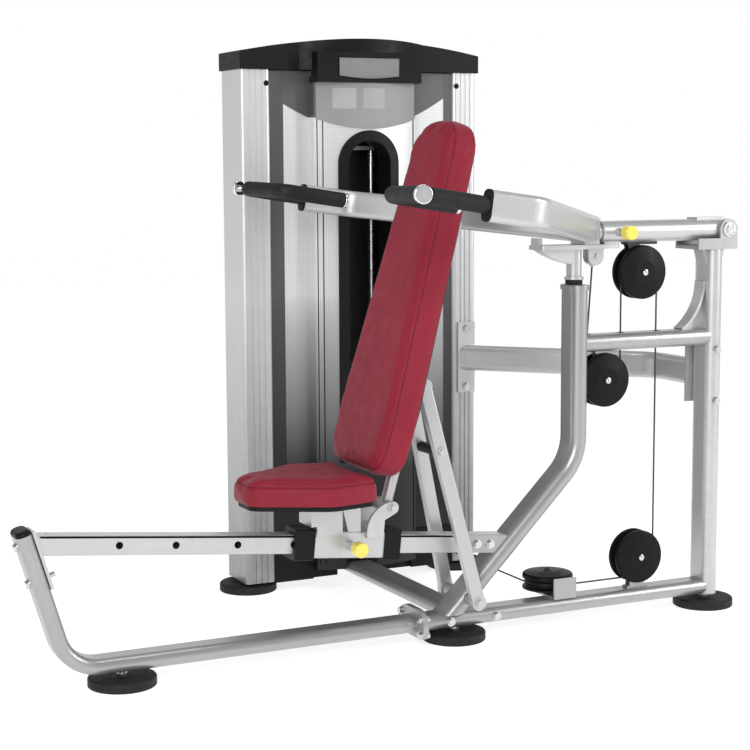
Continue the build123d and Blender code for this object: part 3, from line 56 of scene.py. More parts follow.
RECLINE_PIVOT = Vector((-0.208, 0.0, 0.391))
RECLINE = math.radians(16.0)
PAD_BACK, PAD_FRONT = 0.054, 0.130        # pad faces, forward of the backrest tube's axis
PAD_LOW, PAD_HIGH = 0.078, 1.030          # pad ends along the backrest
SEAT_LOW, SEAT_HIGH = 0.430, 0.496
SEAT_FRONT, SEAT_WIDEST, SEAT_REAR = -0.628, -0.430, -0.286
SEAT_HALF = (0.072, 0.162, 0.142)

RAIL_TILT = math.radians(5.5)
RAIL_REF = Vector((-0.330, 0.0, 0.3014))
TOWER_MID = 0.061
SHIELD_HALF = 0.168
SHIELD_EDGE_Y = 0.674
SHIELD_NOSE_Y = 0.642
STACK_Y = 0.790
CABLE_R = 0.0025
WHEEL_R = 0.060
UPPER_WHEEL = Vector((0.593, 0.0, 0.988))
MID_WHEEL = Vector((0.473, 0.0, 0.689))
LOWER_WHEEL = Vector((0.593, 0.0, 0.171))
FLOOR_WHEEL = Vector((0.336, 0.060, 0.111))
TOWER_CABLE_X = 0.276
TOWER_LOW_R = 0.033
TOP_WHEEL_R = 0.1075
TOP_WHEEL_Z = 1.463
CABLE_ANCHOR = Vector((0.436, 0.0, 1.008))
STACK_TOP_Z = 0.688
CABLE_LEAVES = Vector((LOWER_WHEEL.x + WHEEL_R, 0, LOWER_WHEEL.z + 0.0035))     # off the low wheel
GUARD_CROWN = 0.033                       # guard face from the wheel's middle
SIGN_FRONT_Y = 0.634
PLAQUE_X = (-0.042, 0.157)
PLAQUE_Z = (1.552, 1.606)
COLUMN_FRONT_Y = 0.7022
SCREW_X = (-0.247, 0.388)
RAIL_HOLES = (0.1557, 0.3114, 0.478, 0.626)
RAIL_FACE = 0.0250                        # half the rail's width
RAIL_LINE_ENDS = (-0.40, 0.828)
RAIL_LINE_HEIGHTS = (0.0180, 0.0232)

# ---------------------------------------------------------------- node graphs


class Graph:
    """A material and short calls that add nodes to it."""

    def __init__(self, name):
        self.material = bpy.data.materials.new(name)
        self.material.use_nodes = True
        self.tree = self.material.node_tree
        self.shader = self.tree.nodes["Principled BSDF"]

    def node(self, kind, sockets=None, **settings):
        made = self.tree.nodes.new("ShaderNode" + kind)
        for key, value in settings.items():
            setattr(made, key, value)
        for key, value in (sockets or {}).items():
            if isinstance(value, bpy.types.NodeSocket):
                self.tree.links.new(value, made.inputs[key])
            else:
                made.inputs[key].default_value = value
        return made

    def place(self):
        return self.node("TexCoord").outputs["Object"]

    def noise(self, scale, detail=3.0, rough=0.5):
        sockets = {"Scale": scale, "Detail": detail, "Roughness": rough, "Vector": self.place()}
        return self.node("TexNoise", sockets).outputs["Fac"]

    def cells(self, scale, feature="F1", vector=None):
        sockets = {"Scale": scale, "Vector": vector or self.place()}
        return self.node("TexVoronoi", sockets, feature=feature).outputs["Distance"]

    def math(self, kind, a, b=0.0):
        return self.node("Math", {0: a, 1: b}, operation=kind).outputs[0]

    def remap(self, value, low, high, to_low, to_high):
        sockets = {"Value": value, "From Min": low, "From Max": high, "To Min": to_low, "To Max": to_high}
        return self.node("MapRange", sockets, clamp=True).outputs["Result"]

    def mix(self, factor, a, b):
        made = self.tree.nodes.new("ShaderNodeMix")
        made.data_type = "RGBA"
        for index, value in ((0, factor), (6, a), (7, b)):
            if isinstance(value, bpy.types.NodeSocket):
                self.tree.links.new(value, made.inputs[index])
            else:
                made.inputs[index].default_value = value if index == 0 else (*value, 1.0)
        return made.outputs[2]

    def axis(self, name):
        return self.node("SeparateXYZ", {"Vector": self.place()}).outputs[name]

    def edges(self, low, high):
        """0 on flats, 1 on sharp convex edges."""
        worn = self.node("NewGeometry").outputs["Pointiness"]
        return self.remap(worn, low, high, 0.0, 1.0)

    def bump(self, height, distance, strength=1.0, normal=None):
        sockets = {"Height": height, "Distance": distance, "Strength": strength}
        if normal is not None:
            sockets["Normal"] = normal
        return self.node("Bump", sockets).outputs["Normal"]

    def colour(self, socket):
        self.tree.links.new(socket, self.shader.inputs["Base Color"])

    def rough(self, socket):
        self.tree.links.new(socket, self.shader.inputs["Roughness"])

    def normal(self, socket):
        self.tree.links.new(socket, self.shader.inputs["Normal"])

    def fixed(self, **values):
        names = {"metallic": "Metallic", "coat": "Coat Weight", "coat_rough": "Coat Roughness",
                 "sheen": "Sheen Weight", "sheen_rough": "Sheen Roughness", "specular": "Specular IOR Level"}
        for key, value in values.items():
            self.shader.inputs[names[key]].default_value = value
        return self.material


def tone(colour, share):
    """The colour made lighter or darker."""
    return tuple(min(1.0, c * share) for c in colour)


def metallic_paint(name, colour, rough=0.34, metallic=0.68):
    """Silver powder coat: fine flakes, orange peel, slight clouding and rubbed edges."""
    g = Graph(name)
    cloud = g.remap(g.noise(2.0, 3.0), 0.3, 0.7, 0.0, 1.0)
    flake = g.remap(g.cells(1400.0), 0.1, 0.6, 1.0, 0.0)
    base = g.mix(cloud, tone(colour, 0.98), tone(colour, 1.02))
    base = g.mix(g.math("MULTIPLY", flake, 0.12), base, tone(colour, 1.25))
    scuff = g.math("MULTIPLY", g.edges(0.54, 0.62), g.remap(g.noise(38.0, 5.0), 0.45, 0.6, 0.0, 0.10))
    base = g.mix(scuff, base, tone(colour, 1.5))
    g.colour(base)
    g.rough(g.remap(g.noise(12.0, 4.0), 0.3, 0.7, rough - 0.015, rough + 0.02))
    peel = g.bump(g.noise(260.0, 2.0), 0.00005, 0.4)
    g.normal(g.bump(g.cells(1400.0), 0.00002, 0.3, peel))
    return g.fixed(metallic=metallic, coat=0.15, coat_rough=0.20)


def tower_paint(name, colour):
    """Silver coat of the tower's columns, a little darker towards the floor."""
    g = Graph(name)
    cloud = g.remap(g.noise(1.6, 3.0), 0.3, 0.7, 0.0, 1.0)
    flake = g.remap(g.cells(1300.0), 0.1, 0.6, 1.0, 0.0)
    base = g.mix(cloud, tone(colour, 0.98), tone(colour, 1.02))
    base = g.mix(g.math("MULTIPLY", flake, 0.12), base, tone(colour, 1.25))
    fade = g.remap(g.axis("Z"), 0.15, 0.90, 0.60, 0.0)
    base = g.mix(fade, base, (0.05, 0.05, 0.052))
    worn = g.math("MULTIPLY", g.edges(0.54, 0.62), g.remap(g.noise(30.0, 5.0), 0.45, 0.6, 0.0, 0.06))
    g.colour(g.mix(worn, base, tone(colour, 1.4)))
    g.rough(g.remap(g.noise(10.0, 4.0), 0.3, 0.7, 0.30, 0.335))
    g.normal(g.bump(g.noise(240.0, 2.0), 0.00005, 0.4))
    return g.fixed(metallic=0.5, coat=0.1, coat_rough=0.2)


DOT_PITCH = 0.006
ARC_LOW, ARC_BEND = 1.398, 1.15           # lower edge of the smoked area: its lowest z and its curve
STRIP_EDGES = (-0.190, 0.347)             # the dark strips lie outside these


def tower_sheet(name):
    """Silver sheet with a fine dot pattern: smoked above an arc, dark strips at the columns, dark below."""
    g = Graph(name)
    spot = []
    for axis in ("X", "Z"):
        cell = g.math("FRACT", g.math("DIVIDE", g.axis(axis), DOT_PITCH))
        spot.append(g.math("POWER", g.math("SUBTRACT", cell, 0.5), 2.0))
    dots = g.math("LESS_THAN", g.math("ADD", *spot), 0.09)
    silver = g.mix(g.math("MULTIPLY", dots, 0.75), (0.66, 0.665, 0.67), (0.40, 0.405, 0.41))
    smoked = g.mix(g.math("MULTIPLY", dots, 0.5), (0.085, 0.087, 0.09), (0.13, 0.133, 0.137))
    side = g.math("SUBTRACT", g.axis("X"), TOWER_MID)
    bow = g.math("MULTIPLY", g.math("POWER", g.math("ABSOLUTE", side), 2.0), ARC_BEND)
    arc = g.math("ADD", bow, ARC_LOW)
    above = g.remap(g.math("SUBTRACT", g.axis("Z"), arc), -0.001, 0.001, 0.0, 1.0)
    base = g.mix(above, silver, smoked)
    left = g.math("LESS_THAN", g.axis("X"), STRIP_EDGES[0])
    right = g.math("GREATER_THAN", g.axis("X"), STRIP_EDGES[1])
    base = g.mix(g.math("MAXIMUM", left, right), base, (0.075, 0.077, 0.08))
    fade = g.remap(g.axis("Z"), 0.36, 0.90, 1.0, 0.0)
    base = g.mix(g.math("POWER", fade, 0.7), base, (0.012, 0.012, 0.013))
    g.colour(base)
    g.rough(g.remap(g.noise(60.0, 5.0), 0.3, 0.7, 0.30, 0.38))
    g.normal(g.bump(dots, 0.00006, 0.4))
    return g.fixed(metallic=0.35, specular=0.5)


HANGER_FRONT_X = 0.52


def lug_paint(name, colour):
    """Silver on the cable lug, black on the pulley hanger behind it."""
    g = Graph(name)
    hanger = g.math("GREATER_THAN", g.axis("X"), HANGER_FRONT_X)
    cloud = g.remap(g.noise(3.0, 3.0), 0.3, 0.7, 0.0, 1.0)
    silver = g.mix(cloud, tone(colour, 0.98), tone(colour, 1.02))
    g.colour(g.mix(hanger, silver, (0.012, 0.012, 0.013)))
    g.rough(g.remap(g.noise(14.0, 4.0), 0.3, 0.7, 0.28, 0.33))
    g.normal(g.bump(g.noise(260.0, 2.0), 0.00005, 0.4))
    g.tree.links.new(g.remap(hanger, 0.0, 1.0, 0.75, 0.0), g.shader.inputs["Metallic"])
    return g.fixed(coat=0.25, coat_rough=0.12)


def moulded_plastic(name, colour, rough=0.42, grain=900.0, depth=0.00008, gloss=0.14):
    """Moulded plastic with a spark-eroded grain, and a painted highlight that lightens its sharp edges."""
    g = Graph(name)
    patch = g.remap(g.noise(9.0, 5.0), 0.3, 0.7, 0.0, 1.0)
    base = g.mix(patch, tone(colour, 0.85), tone(colour, 1.2))
    # sharp edges lightened towards a pale tone: painted highlight
    painted_edge_highlight = g.math("MULTIPLY", g.edges(0.53, 0.60), 0.4)
    g.colour(g.mix(painted_edge_highlight, base, tone(colour, 2.6)))
    g.rough(g.remap(g.noise(45.0, 6.0), 0.3, 0.7, rough - 0.06, rough + 0.10))
    g.normal(g.bump(g.cells(grain), depth, 0.6))
    return g.fixed(specular=gloss)


def knob_plastic(name, colour):
    """Glossy yellow knob with faint handling marks, and a painted highlight that lightens its sharp edges.
    """
    g = Graph(name)
    patch = g.remap(g.noise(60.0, 4.0), 0.35, 0.7, 0.0, 1.0)
    base = g.mix(patch, colour, tone(colour, 0.86))
    # sharp edges lightened: painted highlight
    g.colour(g.mix(g.math("MULTIPLY", g.edges(0.53, 0.6), 0.35), base, tone(colour, 1.2)))
    g.rough(g.remap(g.noise(120.0, 5.0), 0.3, 0.7, 0.20, 0.34))
    g.normal(g.bump(g.noise(300.0), 0.00005, 0.5))
    return g.fixed(coat=0.3, coat_rough=0.1)


def rubber(name, colour, grain=700.0):
    """Matt rubber with a pebbled surface and a grey bloom."""
    g = Graph(name)
    bloom = g.remap(g.noise(16.0, 6.0, 0.65), 0.45, 0.75, 0.0, 0.5)
    g.colour(g.mix(bloom, colour, tone(colour, 2.6)))
    g.rough(g.remap(g.noise(80.0, 4.0), 0.3, 0.7, 0.55, 0.78))
    fine = g.bump(g.cells(grain), 0.00018, 0.6)
    g.normal(g.bump(g.noise(90.0, 3.0), 0.0002, 0.35, fine))
    return g.fixed(specular=0.35)


def plated(name, colour, rough):
    """Plated steel with fine drawn lines and finger smudges."""
    g = Graph(name)
    smudge = g.remap(g.noise(28.0, 6.0, 0.65), 0.45, 0.7, 0.0, 1.0)
    g.colour(g.mix(smudge, colour, tone(colour, 0.86)))
    g.rough(g.remap(g.noise(35.0, 6.0), 0.35, 0.7, rough, rough + 0.12))
    g.normal(g.bump(g.noise(600.0, 2.0), 0.00003, 0.5))
    return g.fixed(metallic=1.0)


def cast_plate(name, colour):
    """Black painted cast plates: sandy surface and rubbed rims."""
    g = Graph(name)
    base = g.mix(g.remap(g.noise(24.0, 6.0), 0.3, 0.7, 0.0, 1.0), colour, tone(colour, 1.6))
    rubbed = g.math("MULTIPLY", g.edges(0.52, 0.60), g.remap(g.noise(60.0, 4.0), 0.4, 0.6, 0.0, 0.7))
    g.colour(g.mix(rubbed, base, (0.20, 0.20, 0.21)))
    g.rough(g.remap(g.noise(90.0, 4.0), 0.3, 0.7, 0.42, 0.62))
    g.normal(g.bump(g.noise(500.0, 4.0), 0.00025, 0.5))
    return g.fixed(metallic=0.2)


def leatherette(name, colour):
    """Crimson vinyl: pebble grain, soft creasing, and painted shade that darkens the colour in the hollows
    and between the pebbles.
    """
    g = Graph(name)
    place = g.place()
    warp = g.node("TexNoise", {"Scale": 60.0, "Detail": 2.0, "Vector": place}).outputs["Color"]
    bent = g.node("VectorMath", {0: warp, "Scale": 0.0012}, operation="SCALE").outputs["Vector"]
    bent = g.node("VectorMath", {0: place, 1: bent}, operation="ADD").outputs["Vector"]
    pebble = g.cells(620.0, "DISTANCE_TO_EDGE", bent)
    height = g.remap(pebble, 0.0, 0.22, 0.0, 1.0)
    broad = g.remap(g.noise(7.0, 4.0), 0.3, 0.7, 0.0, 1.0)
    base = g.mix(broad, tone(colour, 0.90), tone(colour, 1.08))
    # darker in the grooves between the pebbles: painted shade
    base = g.mix(g.math("MULTIPLY", g.math("SUBTRACT", 1.0, height), 0.35), base, tone(colour, 0.45))
    # darker in concave creases and hollows: painted shade
    painted_hollow_shade = g.edges(0.50, 0.40)
    base = g.mix(g.math("MULTIPLY", painted_hollow_shade, 0.8), base, tone(colour, 0.30))
    g.colour(base)
    g.rough(g.remap(g.noise(30.0, 5.0), 0.3, 0.7, 0.40, 0.56))
    creases = g.bump(g.noise(26.0, 4.0, 0.55), 0.0009, 0.35)
    g.normal(g.bump(height, 0.00022, 0.7, creases))
    return g.fixed(specular=0.20, sheen=0.03, sheen_rough=0.4)


def thread(name, colour):
    """Twisted sewing thread."""
    g = Graph(name)
    twist = g.node("TexWave", {"Scale": 900.0, "Distortion": 1.0, "Vector": g.place()}).outputs["Fac"]
    g.colour(g.mix(twist, colour, tone(colour, 1.7)))
    g.rough(g.remap(g.noise(200.0), 0.3, 0.7, 0.6, 0.8))
    g.normal(g.bump(twist, 0.0002, 0.6))
    return g.fixed(specular=0.3)


PRINT_Z = 1.487
PRINT_HALF = (0.036, 0.030)
PRINTS = ((-0.080, 0.5), (0.014, 0.35))   # middle from the tower's middle, and strength


def smoked_panel(name):
    """Smoked sign sheet with two faint plain panels printed on it."""
    g = Graph(name)
    base = g.mix(g.remap(g.noise(5.0, 3.0), 0.3, 0.7, 0.0, 1.0), (0.22, 0.224, 0.23), (0.26, 0.264, 0.27))
    side = g.math("SUBTRACT", g.axis("X"), TOWER_MID)
    up = g.math("ABSOLUTE", g.math("SUBTRACT", g.axis("Z"), PRINT_Z))
    level = g.math("LESS_THAN", up, PRINT_HALF[1])
    panels = []
    for centre, strength in PRINTS:
        across = g.math("ABSOLUTE", g.math("SUBTRACT", side, centre))
        inside = g.math("MULTIPLY", g.math("LESS_THAN", across, PRINT_HALF[0]), level)
        panels.append(g.math("MULTIPLY", inside, strength))
    g.colour(g.mix(g.math("MAXIMUM", *panels), base, (0.42, 0.43, 0.44)))
    g.rough(g.remap(g.noise(50.0, 5.0), 0.3, 0.7, 0.42, 0.52))
    g.normal(g.bump(g.noise(300.0), 0.00004, 0.5))
    return g.fixed(specular=0.35)


def cable_jacket(name, colour):
    """Black coated wire rope: the strands show through the coating."""
    g = Graph(name)
    lay = g.node("TexWave", {"Scale": 420.0, "Distortion": 0.6, "Vector": g.place()},
                 bands_direction="DIAGONAL").outputs["Fac"]
    g.colour(g.mix(lay, colour, tone(colour, 2.2)))
    g.rough(g.remap(g.noise(90.0), 0.3, 0.7, 0.32, 0.48))
    g.normal(g.bump(lay, 0.0003, 0.5))
    return g.fixed(specular=0.5)


# One silver coat in two tones: the darker one is painted shade for the frame low down, the lighter one
# painted light for parts that face the lamps.
SHADED_SILVER = (0.36, 0.363, 0.37)
LIT_SILVER = (0.50, 0.504, 0.51)
BLACK = (0.0045, 0.0045, 0.005)
CRIMSON = (0.250, 0.013, 0.030)

MATERIALS = {
    "frame_silver": metallic_paint("frame_silver", SHADED_SILVER),
    "light_silver": metallic_paint("light_silver", LIT_SILVER, 0.36, 0.65),
    "tower_silver": tower_paint("tower_silver", (0.58, 0.584, 0.59)),
    "tower_panel": tower_sheet("tower_panel"),
    "black_steel": moulded_plastic("black_steel", (0.008, 0.008, 0.0085), 0.34, 700.0, gloss=0.6),
    "black_iron": cast_plate("black_iron", (0.010, 0.010, 0.0105)),
    "bright_steel": plated("bright_steel", (0.62, 0.63, 0.64), 0.20),
    "chrome_cap": plated("chrome_cap", (0.78, 0.79, 0.80), 0.07),
    "black_plastic": moulded_plastic("black_plastic", BLACK),
    "smoked_sign": smoked_panel("smoked_sign"),
    "black_rubber": rubber("black_rubber", (0.006, 0.006, 0.006)),
    "cable_black": cable_jacket("cable_black", (0.012, 0.012, 0.012)),
    "red_leatherette": leatherette("red_leatherette", CRIMSON),
    "yellow_knob": knob_plastic("yellow_knob", (0.83, 0.68, 0.10)),
}
SEAM_THREAD = thread("seam_thread", (0.09, 0.006, 0.010))
PLAQUE_GREY = moulded_plastic("plaque_grey", (0.115, 0.117, 0.12), 0.30, 500.0, 0.00003)
NODE_MATERIALS = {
    "sign_shield": MATERIALS["tower_panel"],
    "frame_bolts": MATERIALS["bright_steel"],
    # the rail, link, upright and cable lug take the lighter silver tone: painted light on parts that face
    # the lamps
    "seat_rail": MATERIALS["light_silver"],
    "tower_link": MATERIALS["light_silver"],
    "rear_upright": MATERIALS["light_silver"],
    "arm_lugs": lug_paint("lug_silver", LIT_SILVER),
}


def paint_frame_nodes():
    """Gives every CAD node the material of its slot, or its own where NODE_MATERIALS has one."""
    for part in frame["record"]["subparts"]:
        node = frame["nodes"][part["node"]]
        material = NODE_MATERIALS.get(part["node"], MATERIALS[part["material_slot"]])
        if not node.material_slots:
            node.data.materials.append(material)
        for place in node.material_slots:
            place.link = "OBJECT"
            place.material = material


# ---------------------------------------------------------------- mesh helpers

def finish_mesh(mesh_data, name, body, slot, material=None, smooth=True):
    """Turns a bmesh into a named piece on a body, with its material."""
    bmesh.ops.recalc_face_normals(mesh_data, faces=mesh_data.faces)
    mesh = bpy.data.meshes.new(name)
    mesh_data.to_mesh(mesh)
    mesh_data.free()
    piece = bpy.data.objects.new(name, mesh)
    bpy.context.collection.objects.link(piece)
    for face in mesh.polygons:
        face.use_smooth = smooth
    mesh.materials.append(material or MATERIALS[slot])
    if body:
        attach(piece, body)
    return piece


def frame_axes(direction):
    """Two directions square to the given one."""
    direction = direction.normalized()
    side = direction.cross(Vector((0, 0, 1)))
    if side.length < 1e-4:
        side = direction.cross(Vector((0, 1, 0)))
    side.normalize()
    return side, side.cross(direction)


def add_circle(mesh_data, centre, side, up, radius, steps):
    """Adds a ring of vertices round centre, in the plane of side and up."""
    ring = []
    for k in range(steps):
        angle = 2 * math.pi * k / steps
        point = centre + side * radius * math.cos(angle) + up * radius * math.sin(angle)
        ring.append(mesh_data.verts.new(point))
    return ring


def bridge(mesh_data, low, high):
    """Joins two rings of as many vertices with a band of quads."""
    count = len(low)
    for k in range(count):
        n = (k + 1) % count
        mesh_data.faces.new((low[k], low[n], high[n], high[k]))


def add_lathe(mesh_data, profile, origin, axis, steps=48):
    """Adds a turned shape: profile is (radius, distance along the axis) from one pole to the other."""
    side, up = frame_axes(axis)
    axis = axis.normalized()
    rings = []
    for radius, along in profile:
        centre = origin + axis * along
        if radius < 1e-6:
            rings.append([mesh_data.verts.new(centre)])
        else:
            rings.append(add_circle(mesh_data, centre, side, up, radius, steps))
    for low, high in zip(rings, rings[1:]):
        if len(low) == len(high):
            bridge(mesh_data, low, high)
            continue
        for k in range(steps):
            n = (k + 1) % steps
            if len(low) == 1:
                mesh_data.faces.new((low[0], high[k], high[n]))
            else:
                mesh_data.faces.new((low[k], low[n], high[0]))


def add_tube(mesh_data, points, radius, steps=14, closed=False):
    """Adds a round tube along points, with parallel-carried rings."""
    count = len(points)
    tangents = []
    for k in range(count):
        before = points[(k - 1) % count] if closed or k > 0 else points[k]
        after = points[(k + 1) % count] if closed or k < count - 1 else points[k]
        tangents.append((after - before).normalized())
    side, _ = frame_axes(tangents[0])
    rings = []
    for k, point in enumerate(points):
        side = (side - tangents[k] * side.dot(tangents[k])).normalized()
        rings.append(add_circle(mesh_data, point, side, tangents[k].cross(side), radius, steps))
    for low, high in zip(rings, rings[1:]):
        bridge(mesh_data, low, high)
    if closed:
        bridge(mesh_data, rings[-1], rings[0])
    else:
        mesh_data.faces.new(list(reversed(rings[0])))
        mesh_data.faces.new(rings[-1])


def add_slab(mesh_data, corners, thickness):
    """Adds a thin plate: corners in order, thickened along their normal."""
    normal = (corners[1] - corners[0]).cross(corners[2] - corners[0]).normalized() * thickness
    low = [mesh_data.verts.new(c) for c in corners]
    high = [mesh_data.verts.new(c + normal) for c in corners]
    mesh_data.faces.new(list(reversed(low)))
    mesh_data.faces.new(high)
    bridge(mesh_data, low, high)


def arc_points(centre, a, b, radius, start, end, steps=24):
    """Points on an arc in the plane of the directions a and b."""
    points = []
    for k in range(steps + 1):
        angle = start + (end - start) * k / steps
        points.append(centre + a * radius * math.cos(angle) + b * radius * math.sin(angle))
    return points


def straight(start, end, step=0.02):
    """Evenly spaced points from start to end."""
    count = max(2, int((end - start).length / step))
    return [start.lerp(end, k / count) for k in range(count + 1)]


# ---------------------------------------------------------------- upholstery

def rounded_outline(corners, radii, spacing=0.006):
    """Closed outline with rounded corners as evenly spaced 2-D points."""
    raw = []
    count = len(corners)
    for k in range(count):
        here = Vector(corners[k])
        back = (Vector(corners[k - 1]) - here).normalized()
        ahead = (Vector(corners[(k + 1) % count]) - here).normalized()
        half = math.acos(max(-1.0, min(1.0, back.dot(ahead)))) / 2
        reach = radii[k] / math.tan(half)
        centre = here + (back + ahead).normalized() * (radii[k] / math.sin(half))
        start, end = here + back * reach - centre, here + ahead * reach - centre
        turn = start.angle_signed(end)
        for j in range(17):
            spin = -turn * j / 16
            cosine, sine = math.cos(spin), math.sin(spin)
            turned = Vector((start.x * cosine - start.y * sine, start.x * sine + start.y * cosine))
            raw.append(centre + turned)
    lengths = [0.0]
    for k in range(len(raw)):
        lengths.append(lengths[-1] + (raw[(k + 1) % len(raw)] - raw[k]).length)
    total = lengths[-1]
    steps = int(total / spacing)
    points, index = [], 0
    for k in range(steps):
        target = total * k / steps
        while lengths[index + 1] < target:
            index += 1
        span = lengths[index + 1] - lengths[index]
        share = (target - lengths[index]) / span if span > 1e-9 else 0.0
        points.append(raw[index].lerp(raw[(index + 1) % len(raw)], share))
    return points


def inset_ring(outline, inset):
    """The outline moved inwards by inset."""
    count = len(outline)
    centre = sum(outline, Vector((0, 0))) / count
    moved = []
    for k in range(count):
        along = (outline[(k + 1) % count] - outline[k - 1]).normalized()
        normal = Vector((-along.y, along.x))
        if normal.dot(centre - outline[k]) < 0:
            normal = -normal
        moved.append(outline[k] + normal * inset)
    return moved


def cushion_blank(name, outline, levels, to_world):
    """Closed cushion from outline rings: levels are (inset, height), then the crown closes to the middle."""
    mesh_data = bmesh.new()
    centre = sum(outline, Vector((0, 0))) / len(outline)
    rings = []
    for inset, height in levels:
        ring = inset_ring(outline, inset)
        rings.append([mesh_data.verts.new(to_world(p.x, p.y, height)) for p in ring])
    last_inset, top = levels[-1]
    inner = inset_ring(outline, last_inset)
    for share in (0.82, 0.6, 0.38, 0.16):
        ring = [centre + (p - centre) * share for p in inner]
        rings.append([mesh_data.verts.new(to_world(p.x, p.y, top + 0.003 * (1 - share))) for p in ring])
    first = inset_ring(outline, levels[0][0])
    for share in (0.7, 0.3):
        ring = [centre + (p - centre) * share for p in first]
        rings.insert(0, [mesh_data.verts.new(to_world(p.x, p.y, levels[0][1])) for p in ring])
    for low, high in zip(rings, rings[1:]):
        bridge(mesh_data, low, high)
    mesh_data.faces.new(list(reversed(rings[0])))
    mesh_data.faces.new(rings[-1])
    bmesh.ops.recalc_face_normals(mesh_data, faces=mesh_data.faces)
    mesh = bpy.data.meshes.new(name)
    mesh_data.to_mesh(mesh)
    mesh_data.free()
    piece = bpy.data.objects.new(name, mesh)
    bpy.context.collection.objects.link(piece)
    return piece


def apply_modifier(piece, modifier):
    """Applies one modifier."""
    bpy.ops.object.select_all(action="DESELECT")
    bpy.context.view_layer.objects.active = piece
    piece.select_set(True)
    bpy.ops.object.modifier_apply(modifier=modifier.name)


CLOTH_VOXEL = 0.005
CLOTH_PRESSURE = 4.0
CLOTH_FRAMES = 20
PUFF_MOST = 0.006                         # farthest a point may swell
BOARD_HOLD = 0.006                        # height above the board that stays held


def puff(piece, held):
    """Fills the cushion with a short cloth run; held(point) is true where it rests on its board."""
    remesh = piece.modifiers.new("remesh", "REMESH")
    remesh.mode = "VOXEL"
    remesh.voxel_size = CLOTH_VOXEL
    apply_modifier(piece, remesh)
    group = piece.vertex_groups.new(name="held")
    group.add([v.index for v in piece.data.vertices if held(v.co)], 1.0, "REPLACE")
    start = [v.co.copy() for v in piece.data.vertices]
    cloth = piece.modifiers.new("cloth", "CLOTH")
    settings = cloth.settings
    settings.quality = 4
    settings.mass = 0.3
    settings.tension_stiffness = 18.0
    settings.compression_stiffness = 18.0
    settings.shear_stiffness = 8.0
    settings.bending_stiffness = 1.5
    settings.use_pressure = True
    settings.uniform_pressure_force = CLOTH_PRESSURE
    settings.vertex_group_mass = "held"
    settings.effector_weights.gravity = 0.0
    cloth.collision_settings.use_self_collision = False
    scene = bpy.context.scene
    for number in range(1, CLOTH_FRAMES + 1):
        scene.frame_set(number)
    filled = piece.evaluated_get(bpy.context.evaluated_depsgraph_get()).to_mesh()
    ends = [v.co.copy() for v in filled.vertices]
    piece.modifiers.remove(cloth)
    for vertex, before, after in zip(piece.data.vertices, start, ends):
        move = after - before
        if move.length > PUFF_MOST:
            move *= PUFF_MOST / move.length
        vertex.co = before + move
    scene.frame_set(1)
    piece.vertex_groups.clear()
    smooth = piece.modifiers.new("smooth", "SMOOTH")
    smooth.factor = 0.5
    smooth.iterations = 6
    apply_modifier(piece, smooth)
    divide = piece.modifiers.new("divide", "SUBSURF")
    divide.levels = divide.render_levels = 1
    apply_modifier(piece, divide)


def sink_seam(piece, height_of, seam, depth, width, on_side):
    """Pulls a sewn seam into the cushion's side, at one height above its board."""
    normals = [v.normal.copy() for v in piece.data.vertices]
    for vertex, normal in zip(piece.data.vertices, normals):
        off = (height_of(vertex.co) - seam) / width
        if abs(off) < 2.5 and on_side(normal):
            vertex.co -= normal * depth * math.exp(-off * off)


def seam_cord(name, piece, outline, to_world, height, radius):
    """A thin sewn welt lying in the seam, found by casting from outside onto the cushion."""
    piece.data.update()
    places = [v.co for v in piece.data.vertices]
    tree = BVHTree.FromPolygons(places, [p.vertices for p in piece.data.polygons])
    outer = inset_ring(outline, -0.04)
    points = []
    for far, near in zip(outer, inset_ring(outline, 0.03)):
        start = to_world(far.x, far.y, height)
        direction = (to_world(near.x, near.y, height) - start).normalized()
        hit = tree.ray_cast(start, direction)[0]
        if hit is not None:
            points.append(hit + direction * radius * 0.35)
    mesh_data = bmesh.new()
    add_tube(mesh_data, points, radius, 8, closed=True)
    cord = finish_mesh(mesh_data, name, None, "red_leatherette", SEAM_THREAD)
    cord.parent = piece
    return cord


def seat_cushion():
    """Seat: a nose in front, wide hips, thin piped seam under the crown."""
    nose, wide, rear = SEAT_HALF
    right = [(SEAT_FRONT, -nose * 0.9), (SEAT_WIDEST, -wide - 0.006), (SEAT_REAR, -rear)]
    corners = right + [(x, -y) for x, y in reversed(right)]
    outline = rounded_outline(corners, [0.056, 0.060, 0.036, 0.036, 0.060, 0.056])
    thick = SEAT_HIGH - SEAT_LOW
    levels = [(0.010, 0.0006), (0.005, 0.003), (0.004, 0.012), (0.003, thick * 0.45), (0.004, thick - 0.016),
              (0.008, thick - 0.007), (0.018, thick - 0.003), (0.034, thick - 0.001)]

    def to_world(x, y, height):
        return Vector((x, y, SEAT_LOW + height))

    pad = cushion_blank("seat_pad", outline, levels, to_world)
    puff(pad, lambda p: p.z < SEAT_LOW + BOARD_HOLD)
    seam = thick - 0.014
    sink_seam(pad, lambda p: p.z - SEAT_LOW, seam, 0.0030, 0.0032, lambda n: abs(n.z) < 0.93)
    clamp_below(pad, lambda p: p.z, SEAT_LOW + 0.0002, Vector((0, 0, 1)))
    dress_pad(pad, "seat_carriage", "seat_cushion")
    seam_cord("seat_seam", pad, outline, to_world, seam, 0.0011)


def clamp_below(piece, height_of, low, up):
    """Keeps the underside flat on its board."""
    for vertex in piece.data.vertices:
        under = low - height_of(vertex.co)
        if under > 0:
            vertex.co += up * under


def dress_pad(pad, body, node):
    """Material, body and CAD node of a cushion."""
    for face in pad.data.polygons:
        face.use_smooth = True
    pad.data.materials.clear()
    pad.data.materials.append(MATERIALS["red_leatherette"])
    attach(pad, body)
    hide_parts(node)


def backrest_axes():
    """Directions across, up and forward of the leaning backrest."""
    up = Vector((math.sin(RECLINE), 0, math.cos(RECLINE)))
    forward = Vector((-math.cos(RECLINE), 0, math.sin(RECLINE)))
    return Vector((0, 1, 0)), up, forward


